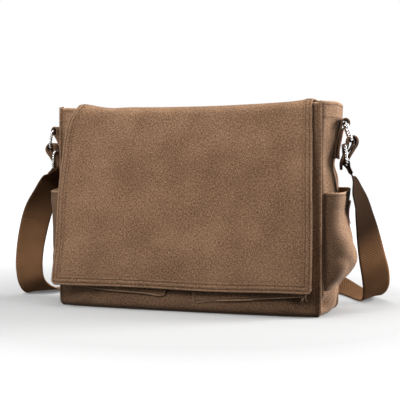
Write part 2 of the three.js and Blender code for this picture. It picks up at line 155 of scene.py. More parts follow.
# The strap's way from the right side round the back to the left, in metres and degrees: x, y, z, the
# direction of its width in plan, and how far its far edge is raised. part.mjs has the same points.
STRAP_ROUTE = [
    (0.2365, 0.013, 0.176, 84, 0),
    (0.2405, 0.025, 0.157, 77, 0),
    (0.243, 0.042, 0.131, 68, 0),
    (0.245, 0.062, 0.102, 56, 2),
    (0.247, 0.082, 0.073, 45, 5),
    (0.249, 0.101, 0.046, 34, 10),
    (0.247, 0.118, 0.024, 30, 18),
    (0.240, 0.138, 0.0105, 30, 20),
    (0.226, 0.164, 0.0045, 31, 8),
    (0.208, 0.196, 0.0027, 32, 4),
    (0.184, 0.232, 0.0053, 38, 10),
    (0.146, 0.266, 0.013, 52, 32),
    (0.092, 0.292, 0.0208, 70, 62),
    (0.024, 0.305, 0.023, 86, 82),
    (-0.048, 0.306, 0.0235, 94, 90),
    (-0.120, 0.293, 0.023, 104, 98),
    (-0.184, 0.264, 0.0208, 122, 118),
    (-0.234, 0.222, 0.013, 142, 148),
    (-0.268, 0.172, 0.0051, 164, 170),
    (-0.288, 0.120, 0.0028, 178, 176),
    (-0.297, 0.074, 0.0049, 183, 172),
    (-0.299, 0.045, 0.011, 186, 160),
    (-0.300, 0.030, 0.024, 188, 164),
    (-0.2995, 0.022, 0.046, 190, 170),
    (-0.296, 0.018, 0.073, 193, 176),
    (-0.289, 0.0155, 0.104, 200, 180),
    (-0.278, 0.0135, 0.138, 212, 180),
    (-0.2605, 0.011, 0.170, 232, 180),
]


# ---------- camera, floor and light ----------
DOME_STRENGTH = 0.5
# The studio's soft boxes: name, place, what it points at, size in metres and power in watts.
LAMPS = [
    ("overhead", (-0.05, -0.25, 1.1), (0, 0, 0.15), 1.2, 15),
    ("front", (-0.2, -0.9, 0.85), (0, 0, 0.2), 0.45, 8),
    ("side", (1.15, 0.5, 0.45), (0.2, 0, 0.12), 0.5, 36),
    ("fill", (-1.3, -1.0, 0.4), (0, 0, 0.15), 0.8, 5),
]


def camera():
    """Stands where the photograph was taken from: in front, a little to the right, at two thirds height."""
    data = bpy.data.cameras.new("camera")
    data.lens = 90
    data.sensor_width = 36
    eye = bpy.data.objects.new("camera", data)
    eye.location = (0.514, -1.406, 0.204)
    eye.rotation_euler = (math.radians(90 - 1.70), 0, math.radians(19.96))
    bpy.context.scene.collection.objects.link(eye)
    bpy.context.scene.camera = eye


def area_light(name, place, target, size, power):
    """Add one square lamp that faces target."""
    data = bpy.data.lights.new(name, "AREA")
    data.size = size
    data.energy = power
    lamp = bpy.data.objects.new(name, data)
    lamp.location = place
    towards = np.array(target) - np.array(place)
    lamp.rotation_euler = Vector(towards).to_track_quat("-Z", "Y").to_euler()
    bpy.context.scene.collection.objects.link(lamp)


def studio():
    """Set up the plain floor, the soft light all round and the lamps, as they look in the photograph."""
    bpy.context.scene.view_settings.view_transform = "Standard"
    world = bpy.data.worlds.new("studio")
    world.use_nodes = True
    tree = world.node_tree
    backdrop = tree.nodes["Background"]
    backdrop.inputs["Color"].default_value = (1, 1, 1, 1)
    # The backdrop is white, and the light that it sends is a soft dome, brighter overhead.
    direction = tree.nodes.new("ShaderNodeTexCoord")
    split = tree.nodes.new("ShaderNodeSeparateXYZ")
    dome = tree.nodes.new("ShaderNodeValToRGB")
    dome.color_ramp.elements[0].position = 0.05
    dome.color_ramp.elements[0].color = (0.16, 0.16, 0.17, 1)
    dome.color_ramp.elements[1].position = 0.75
    dome.color_ramp.elements[1].color = (1, 1, 1, 1)
    soft = tree.nodes.new("ShaderNodeBackground")
    soft.inputs["Strength"].default_value = DOME_STRENGTH
    seen = tree.nodes.new("ShaderNodeLightPath")
    either = tree.nodes.new("ShaderNodeMixShader")
    tree.links.new(direction.outputs["Generated"], split.inputs[0])
    tree.links.new(split.outputs["Z"], dome.inputs[0])
    tree.links.new(dome.outputs[0], soft.inputs["Color"])
    tree.links.new(seen.outputs["Is Camera Ray"], either.inputs[0])
    tree.links.new(soft.outputs[0], either.inputs[1])
    tree.links.new(backdrop.outputs[0], either.inputs[2])
    tree.links.new(either.outputs[0], tree.nodes["World Output"].inputs["Surface"])
    bpy.context.scene.world = world
    for name, place, target, size, power in LAMPS:
        area_light(name, place, target, size, power)
    floor = new_object("floor", [(-4, -4, 0), (4, -4, 0), (4, 4, 0), (-4, 4, 0)], [(0, 1, 2, 3)])
    floor.data.materials.append(floor_material())
    floor.visible_diffuse = False  # the floor is lit and shaded, but throws no light up on the bag


def new_object(name, points, faces):
    """An object from points in metres and faces."""
    mesh = bpy.data.meshes.new(name)
    mesh.from_pydata([tuple(p) for p in points], [], [tuple(f) for f in faces])
    mesh.update()
    made = bpy.data.objects.new(name, mesh)
    bpy.context.scene.collection.objects.link(made)
    return made


def finished(name, points, faces, material, weave, wear_and_shade):
    """A smooth piece from points in mm. weave is each point's place on its flat cloth, in mm."""
    made = new_object(f"{name}_{material}", np.asarray(points) * MM, faces)
    mesh = made.data
    mesh.polygons.foreach_set("use_smooth", [True] * len(mesh.polygons))
    flat = np.zeros((len(points), 3), np.float32)
    flat[:, :2] = np.asarray(weave) * MM
    mesh.attributes.new("weave", "FLOAT_VECTOR", "POINT").data.foreach_set("vector", flat.ravel())
    # Each point's wear and shade: above 0 it is pale worn cloth, below 0 it is painted shade.
    worn = np.asarray(wear_and_shade, np.float32).ravel()
    mesh.attributes.new("wear_and_shade", "FLOAT", "POINT").data.foreach_set("value", worn)
    mesh.materials.append(MATERIALS[material])
    return made


def stands_for(made, body_name, node):
    """Rides a piece on its body, in place of a CAD node."""
    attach(made, body_name)
    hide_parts(node)


def unit(vectors):
    """The same directions with length 1."""
    return vectors / np.maximum(np.linalg.norm(vectors, axis=-1, keepdims=True), 1e-9)


def ticks(length, step, fine=()):
    """Places from 0 to 1 along a length: about step apart, and at the fine distances from both ends."""
    places = list(np.linspace(0, length, max(2, round(length / step) + 1)))
    for distance in fine:
        places += [distance, length - distance]
    places = np.unique(np.round(places, 3))
    kept = [places[0]]
    for place in places[1:-1]:
        if place - kept[-1] > 0.3 and length - place > 0.3:
            kept.append(place)
    return np.array([*kept, length]) / length


class Surface:
    """A cloth's outer surface: point(u, v) gives x, y, z in mm, with u and v from 0 to 1, and the cloth
    faces the given way. size is its flat width and height in mm."""

    def __init__(self, point, size, facing):
        self.point = point
        self.size = size
        self.facing = np.array(facing, float)
        self.side = 1
        grid = np.meshgrid(np.linspace(0.1, 0.9, 9), np.linspace(0.1, 0.9, 9), indexing="ij")
        if (self.normal(*grid) @ self.facing).mean() < 0:
            self.side = -1

    def at(self, u, v):
        u, v = np.broadcast_arrays(np.asarray(u, float), np.asarray(v, float))
        return np.stack(np.broadcast_arrays(*self.point(u, v)), -1)

    def normal(self, u, v):
        u, v = np.broadcast_arrays(np.asarray(u, float), np.asarray(v, float))
        step = 2e-3
        u_low, u_high = np.clip(u - step, 0, 1), np.clip(u + step, 0, 1)
        v_low, v_high = np.clip(v - step, 0, 1), np.clip(v + step, 0, 1)
        along_u = self.at(u_high, v) - self.at(u_low, v)
        along_v = self.at(u, v_high) - self.at(u, v_low)
        return unit(np.cross(along_u, along_v)) * self.side


def grid_faces(rows, columns, start, flip):
    """Faces of a grid of rows by columns points, counted from start."""
    first = start + np.arange(rows - 1)[:, None] * columns + np.arange(columns - 1)[None, :]
    quads = np.stack([first, first + columns, first + columns + 1, first + 1], -1).reshape(-1, 4)
    return quads[:, ::-1] if flip else quads


def cloth(name, surface, us, vs, thickness, material, wear_and_shade=None):
    """A cloth of the given thickness behind its outer surface, with rounded edges."""
    u, v = np.meshgrid(us, vs, indexing="ij")
    rows, columns = u.shape
    outer = surface.at(u, v)
    normal = surface.normal(u, v)
    inner = outer - normal * np.asarray(thickness)[..., None]
    away = np.zeros_like(outer)
    away[0] += unit(outer[0] - outer[1])
    away[-1] += unit(outer[-1] - outer[-2])
    away[:, 0] += unit(outer[:, 0] - outer[:, 1])
    away[:, -1] += unit(outer[:, -1] - outer[:, -2])
    index = np.arange(rows * columns).reshape(rows, columns)
    loop = np.concatenate([index[:-1, 0], index[-1, :-1], index[:0:-1, -1], index[0, :0:-1]])
    middle = ((outer + inner) / 2).reshape(-1, 3)[loop]
    half = np.linalg.norm((outer - inner).reshape(-1, 3)[loop], axis=1, keepdims=True) / 2
    rim = middle + unit(away.reshape(-1, 3)[loop]) * half
    points = np.concatenate([outer.reshape(-1, 3), inner.reshape(-1, 3), rim])
    count = rows * columns
    flip = surface.side < 0
    faces = [*grid_faces(rows, columns, 0, flip), *grid_faces(rows, columns, count, not flip)]
    following = np.roll(np.arange(len(loop)), -1)
    for k, n in enumerate(following):
        front = (loop[n], loop[k], 2 * count + k, 2 * count + n)
        back = (2 * count + n, 2 * count + k, count + loop[k], count + loop[n])
        faces += [front[::-1], back[::-1]] if flip else [front, back]
    flat = np.stack([u * surface.size[0], v * surface.size[1]], -1).reshape(-1, 2)
    worn = np.zeros(count) if wear_and_shade is None else wear_and_shade(u, v).ravel()
    weave = np.concatenate([flat, flat, flat[loop]])
    # The rounded rim is paler where worn, but it keeps the painted shade where the values are below 0.
    rim_wear_and_shade = np.where(worn[loop] < 0, worn[loop], np.maximum(worn[loop], 0.35))
    wears = np.concatenate([worn, worn * 0.3, rim_wear_and_shade])
    return finished(name, points, faces, material, weave, wears)


def loft(name, rings, material, closed=False, wear_and_shade=0.0):
    """A piece through rings of points, each closed on itself; closed joins the last ring to the first."""
    rings = np.asarray(rings)
    count, around = rings.shape[:2]
    points = rings.reshape(-1, 3)
    faces = []
    for i in range(count if closed else count - 1):
        for j in range(around):
            a, b = i * around + j, i * around + (j + 1) % around
            c, d = (b + around) % (count * around), (a + around) % (count * around)
            faces.append((a, b, c, d))
    if not closed:
        faces.append(tuple(range(around))[::-1])
        faces.append(tuple(range((count - 1) * around, count * around)))
    if signed_volume(points, faces) < 0:
        faces = [f[::-1] for f in faces]
    middle = rings.mean(1)
    along = distances(middle)
    girth = np.linalg.norm(np.diff(rings[0], axis=0), axis=1)
    across = np.concatenate([[0], np.cumsum(girth)])
    across = np.minimum(across, across[-1] + girth.mean() - across)
    weave = np.stack(np.meshgrid(across, along), -1).reshape(-1, 2)
    worn = np.broadcast_to(np.asarray(wear_and_shade, float), (count, around)).ravel()
    return finished(name, points, faces, material, weave, worn)


def signed_volume(points, faces):
    """Volume inside the faces: negative when they look inwards."""
    total = 0.0
    for face in faces:
        if len(face) == 4:
            a, b, c, d = (points[k] for k in face)
            total += np.dot(a, np.cross(b, c)) + np.dot(a, np.cross(c, d))
    return total


def ribbon_rings(path, across, width, thickness, columns=9):
    """Rings of a flat band with rounded edges that follows path, across its width."""
    tangent = unit(np.gradient(path, axis=0))
    across = np.broadcast_to(across, path.shape)
    across = unit(across - (across * tangent).sum(1, keepdims=True) * tangent)
    normal = np.cross(tangent, across)
    places = np.linspace(-1, 1, columns) * (width - thickness) / 2
    section = [(a, thickness / 2) for a in places]
    section += [(width / 2, 0)]
    section += [(a, -thickness / 2) for a in places[::-1]]
    section += [(-width / 2, 0)]
    return np.stack([path + across * a + normal * h for a, h in section], 1)


def with_ends(points):
    """Points with one more at each end, carried straight on."""
    return np.concatenate([2 * points[:1] - points[1:2], points, 2 * points[-1:] - points[-2:-1]])


def catmull_rom(p0, p1, p2, p3, t):
    """The curve from p1 to p2, at t from 0 to 1."""
    square = 2 * p0 - 5 * p1 + 4 * p2 - p3
    cube = 3 * p1 - p0 - 3 * p2 + p3
    return 0.5 * (2 * p1 + (p2 - p0) * t + square * t**2 + cube * t**3)


def distances(line):
    """How far along a line each of its points is."""
    return np.concatenate([[0], np.cumsum(np.linalg.norm(np.diff(line, axis=0), axis=1))])


def read_along(line, length, at):
    """Points of a line, or of values along it, at distances along it."""
    return np.stack([np.interp(at, length, line[:, k]) for k in range(line.shape[1])], 1)


def smooth_line(points, count):
    """Evenly spaced points on a smooth curve through a few."""
    points = np.asarray(points, float)
    spans = len(points) - 1
    points = with_ends(points)
    fine = []
    for i in range(spans):
        p0, p1, p2, p3 = points[i : i + 4]
        fine.append(catmull_rom(p0, p1, p2, p3, np.linspace(0, 1, 24, endpoint=False)[:, None]))
    fine = np.concatenate([*fine, points[spans + 1 : spans + 2]])
    return resampled(fine, count)


def resampled(line, count):
    """The same line through evenly spaced points."""
    length = distances(line)
    return read_along(line, length, np.linspace(0, length[-1], count))


def along(pairs, key):
    """A smooth curve through [key, value] pairs, read at keys."""
    keys = np.array([k for k, _ in pairs], float)
    values = np.array([v for _, v in pairs], float)
    key = np.clip(np.asarray(key, float), keys[0], keys[-1])
    i = np.clip(np.searchsorted(keys, key, side="right") - 1, 0, len(keys) - 2)
    t = (key - keys[i]) / (keys[i + 1] - keys[i])
    slopes = np.gradient(values, keys)
    gap = keys[i + 1] - keys[i]
    rise = t * t * (3 - 2 * t)
    bend = gap * (t * (1 - t) ** 2 * slopes[i] - t * t * (1 - t) * slopes[i + 1])
    return values[i] + (values[i + 1] - values[i]) * rise + bend


def step_up(value, low, high):
    """0 below low, 1 above high, and smooth between them."""
    t = np.clip((value - low) / (high - low), 0, 1)
    return t * t * (3 - 2 * t)


def near(value, place, width):
    """1 where a value is at a place, falling smoothly to 0 over about a width on either side."""
    return np.exp(-(((value - place) / width) ** 2))


def lerp(a, b, t):
    """From a at 0 to b at 1."""
    return a + (b - a) * t


def drawn_in(distance, radius):
    """How far in a rounded corner brings an edge, at a distance from the edge that it meets."""
    short = np.clip(radius - distance, 0, radius)
    return radius - np.sqrt(np.maximum(radius**2 - short**2, 0))


def rumple(a, b, amount, seed, coarse=150, fine=45):
    """Soft folds over a cloth: a few waves across it in different directions, the same on each run."""
    random = np.random.default_rng(seed)
    total = np.zeros(np.broadcast(a, b).shape)
    for length in np.geomspace(coarse, fine, 6):
        turn, shift = random.uniform(0, 2 * math.pi, 2)
        wave = (a * math.cos(turn) + b * math.sin(turn)) * 2 * math.pi / length + shift
        total = total + np.sin(wave) * (length / coarse) ** 0.8
    return total * amount / 2.4


# ---------- stitches ----------
PITCH = 3.3
THREAD = {"length": 2.6, "width": 0.85, "height": 0.55}


def seam(surface, start, end, lift=0.0):
    """A row for stitches on a surface between two (u, v) places: its points and normals."""
    t = np.linspace(0, 1, 160)
    u, v = lerp(start[0], end[0], t), lerp(start[1], end[1], t)
    return surface.at(u, v) + surface.normal(u, v) * lift, surface.normal(u, v)


def stitches(name, rows):
    """Threads along rows of (points, normals), each a small pillow half sunk in the cloth."""
    points, faces, weave = [], [], []
    random = np.random.default_rng(len(rows) * 7 + 1)
    turns = np.arange(6) * math.pi / 3
    for line, normals in rows:
        length = distances(line)
        count = max(1, int(length[-1] / PITCH))
        at = (np.arange(count) + 0.5) * length[-1] / count
        centre = read_along(line, length, at)
        ahead = read_along(line, length, at + 0.5)
        behind = read_along(line, length, at - 0.5)
        normal = unit(read_along(normals, length, at))
        tangent = unit(ahead - behind)
        sideways = unit(np.cross(tangent, normal))
        slant = random.normal(0, 0.06, count)[:, None]
        tangent = unit(tangent + sideways * slant)
        for c, t, n, s in zip(centre, tangent, normal, sideways):
            base = len(points)
            half = THREAD["length"] / 2
            points.append(c - t * half - n * 0.25)
            for place in (-0.5, 0.5):
                for turn in turns:
                    across = s * math.cos(turn) * THREAD["width"] / 2
                    up = n * math.sin(turn) * THREAD["height"] / 2
                    points.append(c + t * half * place + across + up + n * 0.08)
            points.append(c + t * half - n * 0.25)
            for k in range(6):
                m = (k + 1) % 6
                faces.append((base, base + 1 + m, base + 1 + k))
                faces.append((base + 1 + k, base + 1 + m, base + 7 + m, base + 7 + k))
                faces.append((base + 7 + k, base + 7 + m, base + 13))
            weave += [(len(points) * 0.37, k * 0.2) for k in range(14)]
    return finished(name, points, faces, "thread", weave, np.zeros(len(points)))


# ---------- materials ----------
class Shade:
    """A material whose nodes are added one after another."""

    def __init__(self, name):
        self.material = bpy.data.materials.new(name)
        self.material.use_nodes = True
        self.tree = self.material.node_tree
        self.surface = self.tree.nodes["Principled BSDF"]

    def add(self, kind, sockets=(), **settings):
        """A node with its settings and the (socket, value or other socket) pairs fed into it."""
        node = self.tree.nodes.new("ShaderNode" + kind)
        for key, value in settings.items():
            setattr(node, key, value)
        for socket, value in sockets:
            self.feed(node.inputs[socket], value)
        return node

    def feed(self, socket, value):
        if isinstance(value, bpy.types.NodeSocket):
            self.tree.links.new(value, socket)
        else:
            socket.default_value = value

    def attribute(self, name):
        return self.add("Attribute", attribute_name=name)

    def math(self, operation, a, b=0.0, c=0.0):
        return self.add("Math", [(0, a), (1, b), (2, c)], operation=operation).outputs[0]

    def stretched(self, vector, scale, shift=(0, 0, 0)):
        pairs = [("Vector", vector), ("Scale", scale), ("Location", shift)]
        return self.add("Mapping", pairs).outputs[0]

    def noise(self, vector, scale, detail=2.0, roughness=0.5):
        pairs = [("Vector", vector), ("Scale", scale), ("Detail", detail), ("Roughness", roughness)]
        return self.add("TexNoise", pairs).outputs[0]

    def bands(self, vector, scale, direction, distortion=0.0):
        pairs = [("Vector", vector), ("Scale", scale), ("Distortion", distortion), ("Detail Scale", 2.0)]
        return self.add("TexWave", pairs, bands_direction=direction).outputs["Fac"]

    def ramp(self, value, stops):
        node = self.add("ValToRGB", [(0, value)])
        bar = node.color_ramp
        while len(bar.elements) < len(stops):
            bar.elements.new(0.5)
        for element, (place, colour) in zip(bar.elements, stops):
            element.position = place
            element.color = (*colour, 1)
        return node.outputs[0]

    def mix(self, factor, a, b):
        return self.add("Mix", [(0, factor), (6, a), (7, b)], data_type="RGBA").outputs[2]

    def bump(self, height, strength, distance, under=None):
        pairs = [("Height", height), ("Strength", strength), ("Distance", distance)]
        node = self.add("Bump", pairs)
        if under is not None:
            self.feed(node.inputs["Normal"], under)
        return node.outputs[0]

    def finish(self, colour, roughness, normal=None, **constants):
        self.feed(self.surface.inputs["Base Color"], colour)
        self.feed(self.surface.inputs["Roughness"], roughness)
        if normal is not None:
            self.feed(self.surface.inputs["Normal"], normal)
        for name, value in constants.items():
            self.surface.inputs[name.replace("_", " ")].default_value = value
        return self.material


def wave_scale(period):
    """The Wave texture's scale that gives bands of that period in metres."""
    return 0.31416 / period


def woven(name, dark, middle, light, worn, thread=0.9, contrast=1.0, patches=22.0):
    """A plain-woven washed cloth: crossing threads with slubs, soft patches, pale worn edges where the
    wear-and-shade attribute is above 0, and painted shade in seams, creases and under things where it is
    below."""
    shade = Shade(name)
    place = shade.attribute("weave").outputs["Vector"]
    wear_and_shade = shade.attribute("wear_and_shade").outputs["Fac"]
    period = thread * MM
    warp = shade.noise(shade.stretched(place, (0.75 / period, 320, 1)), 1.0, 3.0, 0.6)
    weft = shade.noise(shade.stretched(place, (320, 0.75 / period, 1), (3, 7, 0)), 1.0, 3.0, 0.6)
    speck = shade.noise(place, 950.0, 2.0, 0.7)
    patch = shade.noise(place, patches, 4.0, 0.55)
    broad = shade.noise(shade.stretched(place, (1, 1, 1), (5, 2, 0)), patches / 3.5, 2.0, 0.5)
    threads = shade.math("ADD", warp, weft)
    value = shade.math("MULTIPLY_ADD", threads, 1.15 * contrast, -1.15 * contrast + 0.5)
    for layer, share in ((speck, 1.5 * contrast), (patch, 0.5), (broad, 0.26)):
        value = shade.math("MULTIPLY_ADD", layer, share, shade.math("SUBTRACT", value, share / 2))
    colour = shade.ramp(value, [(0.12, dark), (0.5, middle), (0.88, light)])
    rubbed = shade.math("MULTIPLY_ADD", speck, 1.2, 0.1)
    rubbed = shade.math("MULTIPLY", wear_and_shade, rubbed)
    rubbed_on = shade.add("Clamp", [(0, rubbed)]).outputs[0]
    colour = shade.mix(rubbed_on, colour, (*worn, 1))
    # Painted shade: where the attribute is below 0, the colour darkens towards a deeper dark.
    painted_shade = shade.add("Clamp", [(0, shade.math("MULTIPLY", wear_and_shade, -1.0))]).outputs[0]
    colour = shade.mix(painted_shade, colour, (*(0.45 * np.array(dark)), 1))
    over = shade.bands(place, wave_scale(2 * period), "X")
    under = shade.bands(place, wave_scale(2 * period), "Y")
    crossing = shade.math("MULTIPLY", shade.math("SUBTRACT", over, 0.5), shade.math("SUBTRACT", under, 0.5))
    height = shade.math("MULTIPLY_ADD", crossing, 1.6, threads)
    normal = shade.bump(height, 0.5, 0.00035)
    creased = shade.noise(place, 70.0, 3.0, 0.5)
    normal = shade.bump(creased, 0.04, 0.004, normal)
    roughness = shade.math("MULTIPLY_ADD", speck, 0.12, 0.84)
    return shade.finish(
        colour, roughness, normal, Specular_IOR_Level=0.12, Sheen_Weight=0.06, Sheen_Roughness=0.5
    )


def webbing_material():
    """Ribbed twill webbing: raised slanting ribs, darker between them, with painted shade near the strap's
    ends.
    """
    shade = Shade("webbing")
    place = shade.attribute("weave").outputs["Vector"]
    turned = shade.add("Mapping", [("Vector", place), ("Rotation", (0, 0, math.radians(38)))]).outputs[0]
    ribs = shade.bands(turned, wave_scale(0.0032), "X", 0.6)
    cross = shade.bands(place, wave_scale(0.0016), "Y", 0.4)
    speck = shade.noise(place, 900.0, 2.0, 0.6)
    patch = shade.noise(place, 28.0, 3.0, 0.5)
    painted_shade_and_floor_dark = shade.attribute("wear_and_shade").outputs["Fac"]
    value = shade.math("MULTIPLY_ADD", ribs, 0.30, 0.23)
    value = shade.math("MULTIPLY_ADD", speck, 0.35, value)
    value = shade.math("MULTIPLY_ADD", patch, 0.4, shade.math("SUBTRACT", value, 0.2))
    colour = shade.ramp(
        value, [(0.1, (0.085, 0.038, 0.016)), (0.5, (0.215, 0.106, 0.050)), (0.95, (0.330, 0.176, 0.088))]
    )
    # Painted shade at the strap's upper and folded ends, and its darker run on the floor, mix towards near
    # black.
    colour = shade.mix(painted_shade_and_floor_dark, colour, (0.010, 0.0045, 0.002, 1))
    height = shade.math("MULTIPLY_ADD", cross, 0.35, ribs)
    normal = shade.bump(height, 0.4, 0.0005)
    return shade.finish(colour, 0.85, normal, Specular_IOR_Level=0.02)


def leather_material():
    """Reddish leather with a fine grain."""
    shade = Shade("leather")
    place = shade.attribute("weave").outputs["Vector"]
    wear_and_shade = shade.attribute("wear_and_shade").outputs["Fac"]
    grain = shade.add("TexVoronoi", [("Vector", place), ("Scale", 900.0)]).outputs["Distance"]
    patch = shade.noise(place, 60.0, 3.0, 0.5)
    colour = shade.ramp(patch, [(0.3, (0.30, 0.115, 0.075)), (0.7, (0.44, 0.20, 0.14))])
    colour = shade.mix(shade.math("MULTIPLY", wear_and_shade, 0.7), colour, (0.62, 0.33, 0.24, 1))
    normal = shade.bump(grain, 0.4, 0.0002)
    roughness = shade.math("MULTIPLY_ADD", patch, 0.2, 0.45)
    return shade.finish(colour, roughness, normal, Specular_IOR_Level=0.4)


def nickel_material():
    """Polished nickel, with fine scratches, a little tarnish, and black grooves where wear is set."""
    shade = Shade("nickel")
    place = shade.attribute("weave").outputs["Vector"]
    smudge = shade.noise(place, 160.0, 3.0, 0.6)
    scratch = shade.noise(shade.stretched(place, (3000, 200, 1)), 1.0, 2.0, 0.5)
    colour = shade.ramp(smudge, [(0.3, (0.34, 0.33, 0.32)), (0.6, (0.72, 0.71, 0.70))])
    colour = shade.mix(shade.attribute("wear_and_shade").outputs["Fac"], colour, (0.012, 0.011, 0.010, 1))
    roughness = shade.math("MULTIPLY_ADD", smudge, 0.22, 0.10)
    normal = shade.bump(scratch, 0.08, 0.0001)
    return shade.finish(colour, roughness, normal, Metallic=1.0)


def board_material():
    """Stiff dark board with a fine grain."""
    shade = Shade("board")
    place = shade.attribute("weave").outputs["Vector"]
    grain = shade.noise(place, 700.0, 4.0, 0.6)
    colour = shade.ramp(grain, [(0.3, (0.018, 0.016, 0.014)), (0.7, (0.045, 0.040, 0.036))])
    return shade.finish(colour, 0.6, shade.bump(grain, 0.3, 0.0003))


def thread_material():
    """Sewing thread, a little uneven in colour."""
    shade = Shade("thread")
    place = shade.attribute("weave").outputs["Vector"]
    tint = shade.noise(place, 90.0, 2.0, 0.5)
    colour = shade.ramp(tint, [(0.3, (0.022, 0.011, 0.006)), (0.7, (0.055, 0.030, 0.017))])
    return shade.finish(colour, 0.7, None, Specular_IOR_Level=0.2)


def floor_material():
    """A white studio floor that glows more and more away from the bag, so that it meets the backdrop."""
    shade = Shade("floor")
    place = shade.add("TexCoord").outputs["Object"]
    distance = shade.add("VectorMath", [(0, place)], operation="LENGTH").outputs["Value"]
    pairs = [("Value", distance), ("From Min", 0.36), ("From Max", 1.15)]
    away = shade.add("MapRange", pairs).outputs["Result"]
    glow = shade.math("MULTIPLY_ADD", away, 0.9, 0.12)
    shade.surface.inputs["Base Color"].default_value = (0.33, 0.33, 0.33, 1)
    shade.surface.inputs["Roughness"].default_value = 0.9
    shade.surface.inputs["Specular IOR Level"].default_value = 0.0
    shade.surface.inputs["Emission Color"].default_value = (1, 1, 1, 1)
    shade.feed(shade.surface.inputs["Emission Strength"], glow)
    return shade.material


MATERIALS = {
    "canvas": woven(
        "canvas", (0.078, 0.039, 0.020), (0.180, 0.099, 0.055), (0.315, 0.190, 0.112), (0.43, 0.275, 0.17),
        contrast=1.5,
    ),
    # A darker copy of the canvas, for the anchor tabs and belts.
    "dark_canvas": woven(
        "dark_canvas", (0.030, 0.015, 0.008), (0.078, 0.041, 0.022), (0.150, 0.085, 0.048), (0.24, 0.14, 0.085)
    ),
    "lining": woven(
        "lining", (0.030, 0.021, 0.015), (0.055, 0.040, 0.029), (0.085, 0.064, 0.048), (0.12, 0.09, 0.07),
        thread=0.5, contrast=0.6,
    ),
    "padding": woven(
        "padding", (0.050, 0.036, 0.026), (0.085, 0.063, 0.046), (0.125, 0.095, 0.072), (0.17, 0.13, 0.10),
        thread=0.7, contrast=0.7,
    ),
    "webbing": webbing_material(),
    "leather": leather_material(),
    "nickel": nickel_material(),
    "board": board_material(),
    "thread": thread_material(),
}


# ---------- the shoulder strap ----------
def strap_start(way, hang, swing, **_):
    """Where the strap leaves one of its folded ends, and a point a little further on, in mm."""
    bar = (BUCKLE_LOW[0] + hang[0], BUCKLE_LOW[1] + hang[1])
    turn = ANCHOR["turn"]
    rows = []
    for distance, twist in ((STRAP_END + 0.4, 0), (STRAP_END + 9, STRAP_TWIST)):
        out = bar[0] + distance * math.sin(swing)
        x = way * (ANCHOR["x"] + out * math.cos(turn))
        y = ANCHOR["y"] + out * math.sin(turn)
        heading = 90 + math.degrees(turn) if way > 0 else 270 - math.degrees(turn)
        rows.append((x, y, bar[1] - distance * math.cos(swing), heading - twist, 0 if way > 0 else 180))
    return rows


def centripetal(points, t):
    """The centripetal Catmull-Rom curve through points, at t from 0 to 1."""
    spans = len(points) - 1
    i = min(int(t * spans), spans - 1)
    w = t * spans - i
    p1, p2 = points[i], points[i + 1]
    p0 = points[i - 1] if i > 0 else 2 * p1 - p2
    p3 = points[i + 2] if i + 2 <= spans else 2 * p2 - p1
    d0, d1, d2 = (np.linalg.norm(b - a) ** 0.5 for a, b in ((p0, p1), (p1, p2), (p2, p3)))
    leave = ((p1 - p0) / d0 - (p2 - p0) / (d0 + d1) + (p2 - p1) / d1) * d1
    arrive = ((p2 - p1) / d1 - (p3 - p1) / (d1 + d2) + (p3 - p2) / d2) * d1
    square = 3 * (p2 - p1) - 2 * leave - arrive
    cube = 2 * (p1 - p2) + leave + arrive
    return p1 + leave * w + square * w**2 + cube * w**3


def strap_line(count):
    """The strap's centres and the directions of its width, from its right end to its left end, in mm."""
    route = [(x / MM, y / MM, z / MM, heading, tilt) for x, y, z, heading, tilt in STRAP_ROUTE]
    route = strap_start(**STRAP_ENDS["right"]) + route + strap_start(**STRAP_ENDS["left"])[::-1]
    centres = np.array([row[:3] for row in route], float)
    heading, tilt = np.radians(np.array([row[3:] for row in route], float)).T
    widths = np.stack([np.cos(heading) * np.cos(tilt), np.sin(heading) * np.cos(tilt), np.sin(tilt)], 1)
    ts = np.linspace(0, 1, count)
    line = np.array([centripetal(centres, t) for t in ts])
    padded = with_ends(widths)
    places = ts * (len(widths) - 1)
    i = np.minimum(places.astype(int), len(widths) - 2)
    w = (places - i)[:, None]
    return line, unit(catmull_rom(*(padded[i + k] for k in range(4)), w))


def shoulder_strap():
    """The strap in four runs: a short run at each end, the left side's fall, and the long run between them,
    which takes in the right side's fall."""
    line, across = strap_line(900)
    length = distances(line)
    total = length[-1]
    end_run = 24  # the short run at each end, by its belt and ring
    left_run = 64  # the left side's fall
    rings = ribbon_rings(line, across, STRAP_WIDTH, STRAP_THICKNESS, 15)

    # The upper ends are darkened with painted shade, the right one most, and the run on the floor is
    # darker.
    right_top_painted_shade = STRAP_ENDS["right"]["dark"] * (1 - step_up(length, 90, 168))
    left_top_painted_shade = STRAP_ENDS["left"]["dark"] * step_up(length, total - 170, total - 30)
    floor_dark = 0.5 * step_up(length, 230, 300) * (1 - step_up(length, total - 330, total - 260))
    dark = np.maximum(right_top_painted_shade + left_top_painted_shade, floor_dark)

    def run(name, low, high):
        first, last = np.searchsorted(length, (low, high))
        piece = loft(name, rings[first : last + 1], "webbing", wear_and_shade=dark[first : last + 1, None])
        shift_weave(piece, length[first])
        return piece, line[first], line[min(last, len(line) - 1)], line[first : last + 1]

    right_top, a, b, _ = run("strap_right_top", 0, end_run)
    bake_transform(right_top)
    left_top, a, b, _ = run("strap_left_top", total - end_run, total)
    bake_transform(left_top)
    left_fall, a, b, _ = run("strap_left_fall", total - end_run - left_run, total - end_run)
    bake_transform(left_fall)
    main, a, b, path = run("shoulder_strap", end_run, total - end_run - left_run)
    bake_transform(main)
    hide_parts("shoulder_strap")


def shift_weave(piece, distance):
    """Carries the weave on from where a neighbouring run of the same band leaves off."""
    data = piece.data.attributes["weave"].data
    flat = np.zeros(len(data) * 3, np.float32)
    data.foreach_get("vector", flat)
    flat[1::3] += distance * MM
    data.foreach_set("vector", flat)


camera()
shoulder_strap()
studio()


